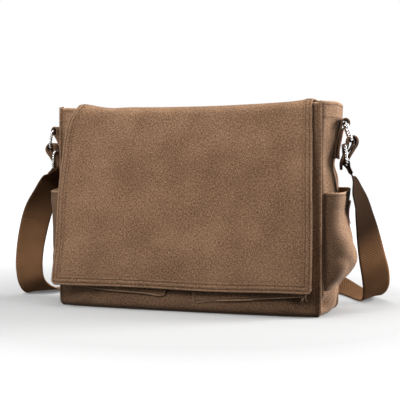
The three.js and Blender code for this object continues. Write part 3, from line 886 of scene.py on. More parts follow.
# ---------- the body ----------
def sag(x):
    """How far the bag's top edges and the flap's fold hang down between the bag's sides."""
    return 5.8 * np.clip(1 - (x / 190) ** 2, 0, 1)


def climb(distance):
    """Height, and how far drawn in, at a distance up a wall that starts with the rounded bottom edge."""
    turn = np.clip(distance / EDGE, 0, math.pi / 2)
    over = np.maximum(distance - EDGE_ARC, 0)
    return EDGE * (1 - np.cos(turn)) + over, EDGE * (1 - np.sin(turn))


def bulge(x, z):
    """How far the full front stands out beyond the seams; it is fullest near the floor."""
    across = np.clip(1 - (np.abs(x) / HALF_WIDTH) ** 2.4, 0, 1) ** 0.5
    return across * (17 * near(z, 14, 36) + 1.5 * near(z, 130, 80))


def crease(y):
    """1 on the gusset's crease and 0 on its seams, with a soft top."""
    half = HALF_DEPTH - 2
    span = np.where(y < RIDGE_Y, half + RIDGE_Y, half - RIDGE_Y)
    t = np.clip(np.abs(y - RIDGE_Y) / span, 0, 1)
    return 0.55 * (1 - t) + 0.45 * np.cos(t * math.pi / 2)


def panel_wear_and_shade(u, v):
    """Pale where the panel's top edge rubs, with painted shade in its side seams and low down."""
    width, height = PANEL_SIZE
    side = np.minimum(u, 1 - u) * width
    top = (1 - v) * height
    # low is painted shade, darkest at the panel's bottom.
    low = 0.42 * near(v * height, 0, 42)
    return 0.7 * near(top, 0, 1.5) - 0.5 * near(side, 0, 3.5) - low


def side_x(y, z):
    """Half the body's width: the back is drawn in or stands out along its seams."""
    return HALF_WIDTH + along(BACK_SEAM, z) * step_up(y, -25, HALF_DEPTH)


def corner_crumple(x, z):
    """The folds of the soft lower corners: a dent and a ridge beside it at each."""
    total = 0.0
    for side in (-1, 1):
        dent = near(x, side * 178, 15) * near(z, 27, 11)
        ridge = near(x, side * (166 - 0.6 * z), 9) * near(z, 17, 12)
        total = total - 5.0 * dent + 2.8 * ridge
    return total


def panel_out(x, z, way):
    """How far the front (-1) or back (1) panel stands out beyond its seams."""
    full = bulge(x, z) if way < 0 else 0.35 * bulge(x, z) * step_up(z, 0, 30)
    off_seam = np.clip(6 * (1 - np.abs(x) / HALF_WIDTH), 0, 1) * np.clip(8 * (1 - z / HEIGHT), 0, 1)
    slack = rumple(x, z, 1.1, 5 + way) * off_seam * step_up(z, 4, 25)
    return full + slack + corner_crumple(x, z) * step_up(z, 0, 12)


def big_panel(way):
    """The front (-1) or back (1) panel's surface."""

    def point(u, v):
        x = (2 * u - 1) * HALF_WIDTH
        top = HEIGHT - 2 - sag(x)
        z, drawn = climb(v * (EDGE_ARC + top - EDGE))
        x = (2 * u - 1) * (side_x(way * HALF_DEPTH, z) - drawn)
        return x, way * (HALF_DEPTH - drawn + panel_out(x, z, way)), z

    return Surface(point, (2 * HALF_WIDTH, HEIGHT + 5), (0, way, 0))


def gusset_out(y, z, way):
    """How far a gusset stands out of its flat place, with its ridge, folds and waist."""
    ridge = along(RIDGE, z) * crease(y)
    folds = rumple(y * 1.4, z, 1.3, 21 + way, 90, 30) * np.clip(crease(y) * 2, 0, 1)
    waist = 2.2 * near(z, 212, 16) * np.clip(crease(y) * 1.5, 0, 1)
    dip = 3.2 * near(np.abs(y), HALF_DEPTH, 3)
    pit = 6.5 * near(y, -41, 8) * near(z, 17, 8)
    slant = 3.0 * near(z, 26 + 0.5 * (y + 30), 5) * np.clip(crease(y), 0, 1) * step_up(-z, -60, -40)
    return ridge + folds - waist - dip - pit - slant


def gusset_wear_and_shade(u, v):
    """Pale at the top hem, with painted shade where the gusset dips to its seams."""
    side = np.minimum(u, 1 - u) * GUSSET_SIZE[0]
    top = (1 - v) * GUSSET_SIZE[1]
    return 0.7 * near(top, 0, 1.5) - 0.95 * near(side, 0, 4.2)


def gusset(way):
    """The surface of a gusset: u goes from front to back, v up from the base."""

    def point(u, v):
        z, drawn = climb(v * (EDGE_ARC + HEIGHT - EDGE))
        y = (2 * u - 1) * (HALF_DEPTH - 1.2 - drawn)
        x = side_x(y, z) - drawn + gusset_out(y, z, way)
        hem = 0.7 * step_up(z, HEIGHT - 24, HEIGHT - 22.5)
        return way * (x + hem), y, z

    return Surface(point, (2 * HALF_DEPTH, HEIGHT + 5), (way, 0, 0))


BOTTOM_TICKS = (1.4, 2.8, 4.2, 5.6, 7, 8.4, 9.8, 11.2, 12.6, 14.2, 17)


def body():
    """The front and back panels, the gussets and the base, with their stitches."""
    fine = (1, 2, 3.5, 6, 9)
    for name, way in (("front_panel", -1), ("back_panel", 1)):
        panel = big_panel(way)
        us, vs = ticks(PANEL_SIZE[0], 7, fine), ticks(PANEL_SIZE[1], 7, BOTTOM_TICKS)
        made = cloth(name, panel, us, vs, CANVAS, "canvas", panel_wear_and_shade)
        stands_for(made, "bag", name)
        rows = [seam(panel, (0.012, v), (0.988, v)) for v in (0.985, 0.935)]
        rows += [seam(panel, (u, 0.05), (u, 0.985)) for u in (0.0125, 0.9875)]
        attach(stitches(f"{name}_stitches", rows), "bag")

    for name, way in SIDES:
        side = gusset(way)
        us = ticks(GUSSET_SIZE[0], 4.5, (1, 2))
        vs = ticks(GUSSET_SIZE[1], 5.5, (*BOTTOM_TICKS, 21, 22, 23, 24, 25))
        made = cloth(f"{name}_gusset", side, us, vs, CANVAS, "canvas", gusset_wear_and_shade)
        stands_for(made, "bag", f"{name}_gusset")
        rows = [seam(side, (0.02, v), (0.98, v), 0.1) for v in (0.987, 0.931)]
        rows += [seam(side, (u, 0.04), (u, 0.985), 0.1) for u in (0.045, 0.955)]
        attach(stitches(f"{name}_gusset_stitches", rows), "bag")
        for end, y_way in (("front", -1), ("back", 1)):
            corner_ridge(f"{name}_{end}_seam", way, y_way)

    base = Surface(
        lambda u, v: (
            (2 * u - 1) * (HALF_WIDTH - EDGE + 0.5),
            (2 * v - 1) * (HALF_DEPTH - EDGE + 0.5) - bulge((2 * u - 1) * HALF_WIDTH, 0) * (1 - v),
            0.1 + 0.0 * u,
        ),
        (2 * HALF_WIDTH, 2 * HALF_DEPTH),
        (0, 0, -1),
    )
    made = cloth("base_panel", base, ticks(380, 9), ticks(90, 9), CANVAS, "canvas")
    stands_for(made, "bag", "base_panel")


def corner_ridge(name, way, y_way):
    """The seam allowance of a corner, turned outwards and topstitched: a raised lip up the corner."""
    z, drawn = climb(np.linspace(1, EDGE_ARC + HEIGHT - EDGE, 90))
    wobble = 0.4 * np.sin(z / 17.0 + way) + 0.25 * np.sin(z / 6.1)
    out = 0.9 + wobble * 0.4
    x = way * (side_x(y_way * HALF_DEPTH, z) - drawn + 0.2 * out)
    y = y_way * (HALF_DEPTH - drawn + out)
    path = np.stack([x, y, z], 1)
    across = unit(np.array([way * 0.55, y_way * 0.85, 0.0]))
    # A little painted shade darkens the seam's lip.
    ridge = loft(name, ribbon_rings(path, across, 4.6, 2.6, 5), "canvas", wear_and_shade=-0.05)
    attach(ridge, "bag")


# ---------- what the bag holds inside ----------
def inside():
    """The lining, the base board and the laptop divider."""
    low, high = box_mm("lining")
    half_x, half_y = high[0], high[1]
    radius = 10

    def wall(u, v):
        """Round the inside once as u goes from 0 to 1, from the bottom up as v does."""
        turn = u * 4
        side = np.floor(turn).astype(int) % 4
        part = turn - np.floor(turn)
        corner_x = np.array([1, -1, -1, 1])[side] * half_x
        corner_y = np.array([1, 1, -1, -1])[side] * half_y
        next_x = np.array([-1, -1, 1, 1])[side] * half_x
        next_y = np.array([1, -1, -1, 1])[side] * half_y
        x, y = lerp(corner_x, next_x, part), lerp(corner_y, next_y, part)
        reach = np.maximum(np.abs(x) - (half_x - radius), 0), np.maximum(np.abs(y) - (half_y - radius), 0)
        far = np.maximum(np.hypot(*reach), 1e-6)
        pull = np.where((reach[0] > 0) & (reach[1] > 0), np.minimum(radius / far, 1), 1)
        x = np.sign(x) * (np.minimum(np.abs(x), half_x - radius) + reach[0] * pull)
        y = np.sign(y) * (np.minimum(np.abs(y), half_y - radius) + reach[1] * pull)
        z = low[2] + v * (high[2] - 3 - low[2] - sag(x))
        folds = rumple(x + y, z, 0.9, 9, 110, 35) * np.clip((1 - v) * 9, 0, 1) * np.clip(v * 6, 0, 1)
        shrink = 1 - (0.8 + folds) / np.hypot(half_x, half_y)
        gap = CANVAS + 1.6
        room = side_x(y, z) + gusset_out(y, z, 1) - gap
        forward = HALF_DEPTH + panel_out(x, z, -1) - gap
        backward = HALF_DEPTH + panel_out(x, z, 1) - gap
        return np.clip(x * shrink, -room, room), np.clip(y * shrink, -forward, backward), z

    centre = Surface(wall, (1000, high[2]), (0, 0, 0))
    probe = centre.normal(np.array(0.125), np.array(0.5))
    centre.side = -1 if probe @ np.array([0, -1, 0]) < 0 else 1
    at_corners = [k / 4 + d for k in range(4) for d in (0.003, 0.01)]
    us = np.unique(np.concatenate([np.linspace(0, 1, 141), at_corners]))
    made = cloth("lining", centre, us, ticks(285, 9, (1, 2)), LINING, "lining")
    stands_for(made, "bag", "lining")
    floor = Surface(
        lambda u, v: (
            (2 * u - 1) * (half_x - 2),
            (2 * v - 1) * (half_y - 2),
            low[2] + 0.6 + 0.5 * np.cos((2 * u - 1) * 9) * np.cos((2 * v - 1) * 4),
        ),
        (2 * half_x, 2 * half_y),
        (0, 0, 1),
    )
    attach(cloth("lining_bottom", floor, ticks(390, 12), ticks(100, 10), 0.6, "lining"), "bag")

    board_low, board_high = box_mm("base_board")
    board = Surface(
        lambda u, v: rounded_rectangle(u, v, board_low, board_high, 12, board_high[2]),
        (board_high[0] - board_low[0], board_high[1] - board_low[1]),
        (0, 0, 1),
    )
    thickness = board_high[2] - board_low[2]
    us, vs = ticks(380, 10, (1, 3, 6, 9)), ticks(96, 8, (1, 3, 6))
    made = cloth("base_board", board, us, vs, thickness, "board")
    stands_for(made, "bag", "base_board")
    divider()


def rounded_rectangle(u, v, low, high, radius, z):
    """A flat rectangle whose corners are rounded by drawing its rows in."""
    y = lerp(low[1], high[1], v)
    drawn = drawn_in(np.minimum(y - low[1], high[1] - y), radius)
    return lerp(low[0] + drawn, high[0] - drawn, u), y, z + 0.0 * u


def divider():
    """The padded laptop divider: foam between two cloths, quilted in wide channels, with a bound edge."""
    low, high = box_mm("laptop_divider")
    width, height = high[0] - low[0], high[2] - low[2]
    middle, half = (low[1] + high[1]) / 2, (high[1] - low[1]) / 2
    channel, corner = 37, 14

    def swell(u, v):
        x, z = u * width, v * height
        edge = np.minimum(np.minimum(u, 1 - u) * width, np.minimum(v, 1 - v) * height)
        full = np.sqrt(np.clip(edge / 7, 0.03, 1))
        groove = 0.0
        for slant in ((x + z) / channel % 1, (x - z) / channel % 1):
            groove = np.maximum(groove, near(np.minimum(slant, 1 - slant) * channel, 0, 1.6))
        inner = step_up(edge, 8, 11)
        return half * (full - 0.45 * groove * inner + 0.12 * inner)

    def face(u, v):
        drawn = drawn_in((1 - v) * height, corner)
        x = lerp(low[0] + drawn, high[0] - drawn, u)
        return x, middle - swell(u, v) + 0.0 * u, lerp(low[2], high[2], v)

    surface = Surface(face, (width, height), (0, -1, 0))
    us, vs = ticks(width, 3.2, (0.5, 1.5)), ticks(height, 3.2, (0.5, 1.5))
    u, v = np.meshgrid(us, vs, indexing="ij")
    pad = cloth("laptop_divider", surface, us, vs, 2 * swell(u, v), "padding")
    stands_for(pad, "bag", "laptop_divider")


# ---------- the front pockets ----------
def pocket_low(side, x):
    """The height of a front pocket's bottom edge at x."""
    across = (np.abs(x) - side["inner"]) / FRONT_POCKET["width"]
    droop = near(across, 0.02, 0.05)
    return lerp(side["inner_low"], side["outer_low"], across) - droop + 0.4 * np.sin(across * 9)


def pocket_face_y(side, x, z):
    """A front pocket's face, standing off the front panel, fuller towards its bottom."""
    share = np.clip((z - side["inner_low"]) / (FRONT_POCKET["top"] - side["inner_low"]), 0, 1)
    depth = lerp(FRONT_POCKET["bottom_depth"], FRONT_POCKET["top_depth"], share)
    across = np.clip((np.abs(x) - side["inner"]) / FRONT_POCKET["width"], 0, 1)
    belly = 1.6 * np.sin(across * math.pi) * np.sin(np.clip(share, 0, 1) * math.pi)
    return -(HALF_DEPTH + 0.4 + depth + belly)


def front_pocket(name, side):
    """One bellows pocket on the front panel, with its stitches."""
    way, inner, width = side["side"], side["inner"], FRONT_POCKET["width"]
    top, corner = FRONT_POCKET["top"], FRONT_POCKET["corner"]
    height = top - side["inner_low"]

    def face(u, v):
        x_full = inner + u * width
        low = pocket_low(side, x_full)
        z = lerp(low, top - 2 * np.sin(u * math.pi), v)
        drawn = drawn_in(z - low, corner)
        x = lerp(inner + drawn, inner + width - drawn, u)
        edge = np.minimum(np.minimum(x - inner, inner + width - x), z - low + 0.01)
        y = pocket_face_y(side, x, z) - hem_relief(edge, (2.6,), 6, 0.5)
        y = y - hem_relief(top - z, (3, 19), 22, 0.7) + rumple(x, z, 0.7, 40 + way, 80, 30)
        return way * x, y, z

    surface = Surface(face, (width, height), (0, -1, 0))
    fine = (0.8, 1.6, 2.6, 3.6, 5, 6, 7)

    def wear_and_shade(u, v):
        edge = np.minimum(np.minimum(u, 1 - u) * width, v * height)
        mouth = (1 - v) * height
        # Pale where the edges and mouth are worn, with painted shade along the sunken row of stitches.
        row_shade = 0.45 * near(edge, 2.6, 0.9)
        return 1.3 * near(edge, 0, 1.6) + 0.8 * near(mouth, 0, 1.3) - row_shade

    us, vs = ticks(width, 5, fine), ticks(height, 5, (*fine, 18, 19, 20, 22, 23))
    made = cloth(f"{name}_front_pocket", surface, us, vs, FRONT_POCKET["wall"], "canvas", wear_and_shade)
    stands_for(made, "bag", f"{name}_front_pocket")

    inset_u, inset_v = 2.6 / width, 2.6 / height
    rows = [
        seam(surface, (inset_u, 0.04), (inset_u, 0.98)),
        seam(surface, (1 - inset_u, 0.04), (1 - inset_u, 0.98)),
        seam(surface, (0.03, inset_v), (0.97, inset_v)),
        seam(surface, (0.02, 1 - 3 / height), (0.98, 1 - 3 / height)),
        seam(surface, (0.02, 1 - 19 / height), (0.98, 1 - 19 / height)),
    ]
    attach(stitches(f"{name}_front_pocket_stitches", rows), "bag")

    run = height - 6
    total = 2 * run + width

    def bellows(u, v):
        """Round the pocket's edge, from its inner top to its outer top; v goes back to the panel."""
        place = u * total
        inner_side = np.clip(place / run, 0, 1)
        outer_side = np.clip((place - run - width) / run, 0, 1)
        across = np.clip((place - run) / width, 0, 1)
        x = inner + across * width
        low = pocket_low(side, x)
        high = top - 3
        z = np.where(place < run, lerp(high, low, inner_side), low)
        z = np.where(place > run + width, lerp(low, high, outer_side), z)
        reach_x = np.minimum(x - inner, inner + width - x)
        reach_z = z - low
        in_corner = (reach_x < corner) & (reach_z < corner)
        far = np.where(in_corner, np.hypot(corner - reach_x, corner - reach_z), 0)
        pull = np.where(far > corner, 1 - corner / np.maximum(far, 1e-6), 0)
        centre_x = np.where(x < inner + width / 2, inner + corner, inner + width - corner)
        x = x + (centre_x - x) * pull
        z = z + (low + corner - z) * pull
        front = pocket_face_y(side, x, z) + 0.8
        back = -(HALF_DEPTH + 0.2 + bulge(x, z))
        tuck = 2.2 * np.sin(v * math.pi) + 0.3
        x = x + np.where(place < run, tuck, 0) - np.where(place > run + width, tuck, 0)
        z = z + np.where((place >= run) & (place <= run + width), tuck, 0)
        return way * x, lerp(front, np.minimum(back, front + 18), v), z

    strip = Surface(bellows, (total, 18), (0, 0, 0))
    probe = strip.normal(np.array(0.5), np.array(0.3))
    strip.side = strip.side if probe @ np.array([0, 0, -1]) > 0 else -strip.side
    beside = (-7, -5, -3, -1, 0, 1, 3, 5, 7)
    at_corners = [(turn + d) / total for turn in (run, run + width) for d in beside]
    us = np.unique(np.round(np.concatenate([ticks(total, 5), at_corners]), 5))
    # The bellows are painted in shade all over, as they lie under the pocket's edge.
    dark = lambda u, v: -0.6 + 0.0 * u
    made = cloth(f"{name}_front_pocket_bellows", strip, us, np.linspace(0, 1, 9), 1.2, "canvas", dark)
    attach(made, "bag")


def frayed_threads():
    """A few loose threads at the right front pocket's outer lower corner."""
    side = FRONT_POCKETS["right"]
    random = np.random.default_rng(12)
    for k in range(5):
        x = side["inner"] + FRONT_POCKET["width"] - 1.5 - 1.3 * k
        z = side["outer_low"] + 1.5
        y = pocket_face_y(side, x, z) - 1.0
        reach = random.uniform(5, 10)
        lean = random.uniform(-3.5, 2.5)
        middle, tip = (x + 0.3 * lean, y - 0.8, z - 0.3 * reach), (x + lean, y - 0.3, z - reach)
        path = smooth_line([(x, y + 1, z + 2), middle, tip], 14)
        turns = np.linspace(0, 2 * math.pi, 6, endpoint=False)
        ring = np.stack([np.cos(turns), np.sin(turns), 0 * turns], 1)
        thin = 0.42 - 0.02 * np.arange(14)
        rings = path[:, None] + ring * thin[:, None, None]
        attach(loft(f"frayed_thread_{k + 1}", rings, "canvas", wear_and_shade=0.8), "bag")


def hem_relief(distance, rows, width, height):
    """How far a folded hem stands up, at a distance from its edge, dimpled along its rows of stitches."""
    up = height * (1 - step_up(distance, width - 0.8, width + 1.6))
    puff = 0.35 * np.sin(np.clip(distance / width, 0, 1) * math.pi) * (distance < width)
    for row in rows:
        up = up - 0.6 * near(distance, row, 1)
    return up + puff


# ---------- the side pockets ----------
def side_pocket(name, way):
    """One side pocket, with its hemmed mouth and stitches."""
    low, high, half = SIDE_POCKET["low"], SIDE_POCKET["high"], SIDE_POCKET["half_depth"]
    close, girth, length = SIDE_POCKET["close"], SIDE_POCKET["girth"], SIDE_POCKET_LENGTH

    def point(u, v):
        turn = (u - 0.5) * math.pi
        distance = v * length
        under = np.clip(1 - distance / close, 0, 1)
        z = low + np.maximum(distance - close, 0) - 1.5 * under
        across = half * np.sign(np.sin(turn)) * np.abs(np.sin(turn)) ** POCKET_ROUND
        seat = HALF_WIDTH + gusset_out(across, z, way)
        face = along(SIDE_POCKET_FACES[name], z)
        full = np.abs(np.cos(turn)) ** 0.72
        x = lerp(seat - 0.5, face, full * (1 - under**1.6))
        x = x + rumple(across * 1.6, z, 1.0, 61 + way, 70, 24) * full * np.clip((1 - v) * 10, 0.15, 1)
        x = x + hem_relief(high - z, (4, 20), 22, 0.8) * full
        pleat = 2.4 * near(across, 30, 3) * step_up(z, 60, 130)
        folds = (
            3.6 * near(z, 62 - 0.5 * across, 7) * step_up(-across, -30, 20)
            + 2.8 * near(z, 92 + 0.35 * across, 9) * step_up(across, -25, 10)
            + 2.6 * near(across, -12, 6) * step_up(-z, -80, -52)
        ) * POCKET_SLUMP[name]
        x = x - folds * full * (1 - under)
        z = z + 6.5 * step_up(across, -38, 44) * step_up(v, 0.7, 1)
        return way * (x - pleat * full), across, z

    surface = Surface(point, (girth, length), (way, 0, 0))

    def wear_and_shade(u, v):
        mouth = (1 - v) * length
        sides = np.minimum(u, 1 - u) * girth
        front = 1 - step_up(u, 0.16, 0.42)
        # Pale where the mouth is worn, with painted shade at the sewn sides and over the pocket's front
        # part.
        return 0.9 * near(mouth, 0, 1.4) - 0.35 * near(sides, 0, 4) - 0.42 * front

    us = ticks(girth, 4, (0.5, 1, 2, 3, 4.5))
    vs = ticks(length, 4.5, (0.8, 2, 3, 4, 5, 6.5, 8, 10, 12, 19, 20, 21, 22, 23, 24))
    made = cloth(f"{name}_side_pocket", surface, us, vs, SIDE_POCKET["wall"], "canvas", wear_and_shade)
    stands_for(made, "bag", f"{name}_side_pocket")
    rows = [seam(surface, (0.03, 1 - d / length), (0.97, 1 - d / length)) for d in (4, 20)]
    rows += [seam(surface, (u, 0.12), (u, 0.98)) for u in (0.02, 0.98)]
    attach(stitches(f"{name}_side_pocket_stitches", rows), "bag")
    return surface


def pocket_tag(pocket):
    """The leather tag sewn on the right side pocket, towards the back."""
    low, high = box_mm("side_pocket_tag")

    def point(u, v):
        y, z = lerp(low[1], high[1], u), lerp(low[2], high[2], v)
        turn = np.arcsin(np.clip(y / SIDE_POCKET["half_depth"], 0, 1) ** (1 / POCKET_ROUND))
        distance = z - SIDE_POCKET["low"] + SIDE_POCKET["close"]
        on = pocket.at(turn / math.pi + 0.5, distance / SIDE_POCKET_LENGTH)
        return on[..., 0] + 2.0, y, z

    tag = Surface(point, (high[1] - low[1], high[2] - low[2]), (1, 0, 0))
    edges = lambda u, v: near(np.minimum(np.minimum(u, 1 - u) * 20, np.minimum(v, 1 - v) * 33), 0, 1)
    made = cloth("side_pocket_tag", tag, ticks(20, 2, (0.5,)), ticks(33, 2, (0.5,)), 1.6, "leather", edges)
    stands_for(made, "bag", "side_pocket_tag")
    u, v = 0.09, 0.055  # how far in the stitches are
    corners = [(u, v), (1 - u, v), (1 - u, 1 - v), (u, 1 - v)]
    rows = [seam(tag, a, b) for a, b in zip(corners, corners[1:] + corners[:1])]
    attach(stitches("side_pocket_tag_stitches", rows), "bag")


# ---------- the flap ----------
# Where the flap bends at its back seam and at its front fold, in millimetres. The lining is inside the
# canvas.
FLAP_TOP_WIDTH = 370
FLAP_FRONT_WIDTH = 390
FLAP_RISE = FLAP_TOP_Z - FLAP_TURN - FLAP_SEAM_Z  # straight up the back before it turns over
FLAP_BACK_ARC = FLAP_TURN * math.pi / 2
FLAP_BACK_TOP = FLAP_BACK_Y - FLAP_TURN - FLAP_SPLIT_Y
FLAP_BACK_LENGTH = FLAP_RISE + FLAP_BACK_ARC + FLAP_BACK_TOP
FLAP_FRONT_TOP = FLAP_SPLIT_Y - (FLAP_FOLD_Y + FLAP_FOLD)
FLAP_FRONT_ARC = FLAP_FOLD * (math.pi / 2 - FLAP_LEAN)


def flap_back_profile(distance):
    """y, z and the outward normal's y, z up the back and over to where the flap's two pieces meet."""
    turn = np.clip((distance - FLAP_RISE) / FLAP_TURN, 0, math.pi / 2)
    up = np.clip(distance, 0, FLAP_RISE)
    over = np.maximum(distance - FLAP_RISE - FLAP_BACK_ARC, 0)
    y = FLAP_BACK_Y - FLAP_TURN * (1 - np.cos(turn)) - over
    z = FLAP_SEAM_Z + up + FLAP_TURN * np.sin(turn)
    return y, z, np.cos(turn), np.sin(turn)


def flap_front_profile(distance):
    """y, z and the outward normal's y, z from where the pieces meet, over the fold and down the front."""
    start = FLAP_FRONT_TOP
    turn = np.clip((distance - start) / FLAP_FOLD, 0, math.pi / 2 - FLAP_LEAN)
    flat = np.clip(distance, 0, start)
    down = np.maximum(distance - start - FLAP_FRONT_ARC, 0)
    y = FLAP_SPLIT_Y - flat - FLAP_FOLD * np.sin(turn) - down * math.sin(FLAP_LEAN)
    z = FLAP_TOP_Z - FLAP_FOLD * (1 - np.cos(turn)) - down * math.cos(FLAP_LEAN)
    return y, z, -np.sin(turn), np.cos(turn)


def flap_waves(x, below):
    """The washed flap's soft folds, stronger near the fold's left corner and towards its hem."""
    base = rumple(x, below, 1.5, 3, 190, 60)
    corner = 2.6 * near(x, -158, 16) * near(below, -4, 26)
    dip = -2.0 * near(x, -120, 20) * near(below, 0, 30)
    right = 1.6 * near(x, 180, 14) * near(below, 0, 26)
    return base * step_up(below, -20, 60) + corner + dip + right


def back_slack(x, distance):
    """The soft folds over the bag's top, at x and a distance from the back seam."""
    return rumple(x, distance, 0.8, 31, 120, 50)


def flap_back_surface(inset=0.0, below=0.0):
    """The flap from its back seam to the middle of the top; the lining is drawn in by inset, and below."""
    length = FLAP_BACK_LENGTH

    def point(u, v):
        distance = v * length
        share = np.clip((distance - FLAP_RISE) / (length - FLAP_RISE + FLAP_FRONT_TOP), 0, 1)
        left, right = lerp(-180, FLAP_LEFT[0][1], share), lerp(186, FLAP_RIGHT[0][1], share)
        x = lerp(left + inset, right - inset, u)
        y, z, out_y, out_z = flap_back_profile(distance)
        edge = np.minimum(x - left, right - x)
        lift = hem_relief(edge, ROWS, HEM, HEM_HEIGHT) - below
        lift = lift + back_slack(x, distance) * step_up(distance, 10, 40)
        return x, y + out_y * lift, z + out_z * lift - sag(x) * step_up(distance, 0, FLAP_RISE + 20)

    return Surface(point, (FLAP_TOP_WIDTH, length), (0, 0.3, 1)), length


def flap_front_surface(inset=0.0, below=0.0, hem_inset=0.0):
    """The flap from the middle of the top over the fold and down to its hem, or its lining."""
    start = FLAP_FRONT_TOP + FLAP_FRONT_ARC / 2
    hem_width = 398

    def point(u, v):
        hem = lerp(FLAP_HEM["left"], FLAP_HEM["right"], u) - hem_inset
        side = np.minimum(u * hem_width, (1 - u) * hem_width)
        hem = hem - drawn_in(side, FLAP_HEM["corner"]) * 0.9
        hem = hem + 0.9 * np.sin(u * 11 + 1) * 0.8
        distance = v * (start + hem)
        down = distance - start
        left, right = along(FLAP_LEFT, down), along(FLAP_RIGHT, down)
        left = np.where(down < 0, FLAP_LEFT[0][1] + 0.08 * down, left)
        x = lerp(left + inset, right - inset, u)
        y, z, out_y, out_z = flap_front_profile(distance)
        edge = np.minimum(np.minimum(x - left, right - x), start + hem + hem_inset - distance)
        lift = hem_relief(edge, ROWS, HEM, HEM_HEIGHT) + flap_waves(x, down) - below
        lift = lift + back_slack(x, FLAP_BACK_LENGTH + distance) * (1 - step_up(distance, 0, 40))
        hang = sag(x) * (1 - 0.85 * step_up(down, 0, 150))
        return x, y + out_y * lift, z + out_z * lift - hang

    length = start + FLAP_HEM["left"]
    return Surface(point, (396, length), (0, -1, 0.1)), length


def flap():
    """Both pieces of the flap with their linings and stitches."""
    back, back_length = flap_back_surface()
    front, front_length = flap_front_surface()
    fine = (0.8, 1.6, 2.3, 3, 3.7, 4.6, 6, 7.4, 8.3, 9, 9.7, 10.6, 11.6, 12.4, 13.2, 14.5)

    def hem_wear_and_shade(distance):
        """Pale where the very edge is worn, with painted shade along the sunken rows of stitches and where
        the hem ends.
        """
        dark = sum(0.3 * near(distance, row, 0.9) for row in ROWS)
        return 0.4 * near(distance, 0, 1.2) - dark - 0.3 * near(distance, HEM + 1, 1.2)

    def top_wear_and_shade(u, v):
        return hem_wear_and_shade(np.minimum(u, 1 - u) * FLAP_TOP_WIDTH)

    def front_wear_and_shade(u, v):
        fold = np.abs(v * front_length - FLAP_FRONT_TOP - FLAP_FRONT_ARC / 2)
        nearest = np.minimum(np.minimum(u, 1 - u) * FLAP_FRONT_WIDTH, (1 - v) * front_length)
        # A painted highlight pales the flap along its front fold.
        return hem_wear_and_shade(nearest) + 0.12 * near(fold, 0, 9)

    us = ticks(FLAP_FRONT_WIDTH, 6, fine)
    top = cloth("flap_top_panel", back, us, ticks(back_length, 6, (1, 2)), FLAP_CANVAS, "canvas", top_wear_and_shade)
    vs = ticks(front_length, 6, fine)
    hang = cloth("flap_front_panel", front, us, vs, FLAP_CANVAS, "canvas", front_wear_and_shade)
    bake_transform(top)
    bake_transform(hang)
    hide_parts("flap_top_panel")
    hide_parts("flap_front_panel")

    lined = {"inset": HEM + 1, "below": FLAP_CANVAS + 0.25}
    back_lining, length = flap_back_surface(**lined)
    piece = cloth("flap_top_lining", back_lining, ticks(340, 9), ticks(length, 7), LINING, "lining")
    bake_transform(piece)
    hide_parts("flap_top_lining")
    front_lining, length = flap_front_surface(**lined, hem_inset=HEM + 1)
    piece = cloth("flap_front_lining", front_lining, ticks(360, 8), ticks(length, 7), LINING, "lining")
    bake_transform(piece)
    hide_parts("flap_front_lining")

    rows = []
    for row in ROWS:
        inset_u, inset_v = row / FLAP_FRONT_WIDTH, 1 - row / front_length
        rows += [seam(front, (u, 0.0), (u, inset_v)) for u in (inset_u, 1 - inset_u)]
        rows.append(seam(front, (inset_u, inset_v), (1 - inset_u, inset_v)))
    made = stitches("flap_front_stitches", rows)
    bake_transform(made)
    insets = [row / FLAP_TOP_WIDTH for row in ROWS]
    rows = [seam(back, (u, 0.0), (u, 1.0)) for inset in insets for u in (inset, 1 - inset)]
    rows += [seam(back, (0.01, v), (0.99, v)) for v in (3 / back_length, 11 / back_length)]
    made = stitches("flap_top_stitches", rows)
    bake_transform(made)


# ---------- the magnetic snaps ----------
# The snaps' profiles, as (radius, height).
SNAP_PROFILES = {
    "socket": [
        (0.4, -0.8), (8.6, -0.8), (9.0, -0.5), (9.0, 0.3), (8.4, 0.8),
        (7.4, 0.9), (6.6, 0.5), (4.4, 0.3), (3.8, -0.3), (0.4, -0.4),
    ],
    "stud": [
        (0.4, -0.7), (8.6, -0.7), (9.0, -0.4), (9.0, 0.2), (8.2, 0.6),
        (5.0, 0.6), (3.6, 0.9), (3.0, 1.5), (0.4, 1.6),
    ],
}


def turned_disc(node, profile, axis, body_name):
    """A disc turned from a profile of (radius, height) about an axis, at the middle of its CAD node."""
    low, high = box_mm(node)
    centre = (low + high) / 2
    axis = unit(np.array(axis, float))
    side = unit(np.cross(axis, (1, 0, 0)))
    other = np.cross(axis, side)
    turns = np.linspace(0, 2 * math.pi, 40, endpoint=False)
    rings = []
    for radius, height in profile:
        round_it = np.outer(np.cos(turns), side) + np.outer(np.sin(turns), other)
        rings.append(centre + axis * height + round_it * radius)
    stands_for(loft(node, rings, "nickel"), body_name, node)


def snaps():
    """The magnetic snaps: a socket on each front pocket and a stud on the flap."""
    for name, _ in SIDES:
        turned_disc(f"{name}_snap_socket", SNAP_PROFILES["socket"], (0, -1, 0.05), "bag")
        turned_disc(f"{name}_snap_stud", SNAP_PROFILES["stud"], (0, 1, 0.09), "flap_front")


# ---------- the strap's ends ----------
def strap_place(way, out, height, across=0.0):
    """A point given outward, up and across the strap, in the row frame."""
    turn = ANCHOR["turn"]
    out, height, across = np.broadcast_arrays(*(np.asarray(k, float) for k in (out, height, across)))
    x = way * (ANCHOR["x"] + out * math.cos(turn) - across * math.sin(turn))
    y = ANCHOR["y"] + out * math.sin(turn) + across * math.cos(turn)
    return np.stack([x, y, height], -1)


def across_strap(way):
    """Direction along the bars of a ring or buckle, which faces outwards and a little to the back."""
    turn = ANCHOR["turn"]
    return np.array([-way * math.sin(turn), math.cos(turn), 0])


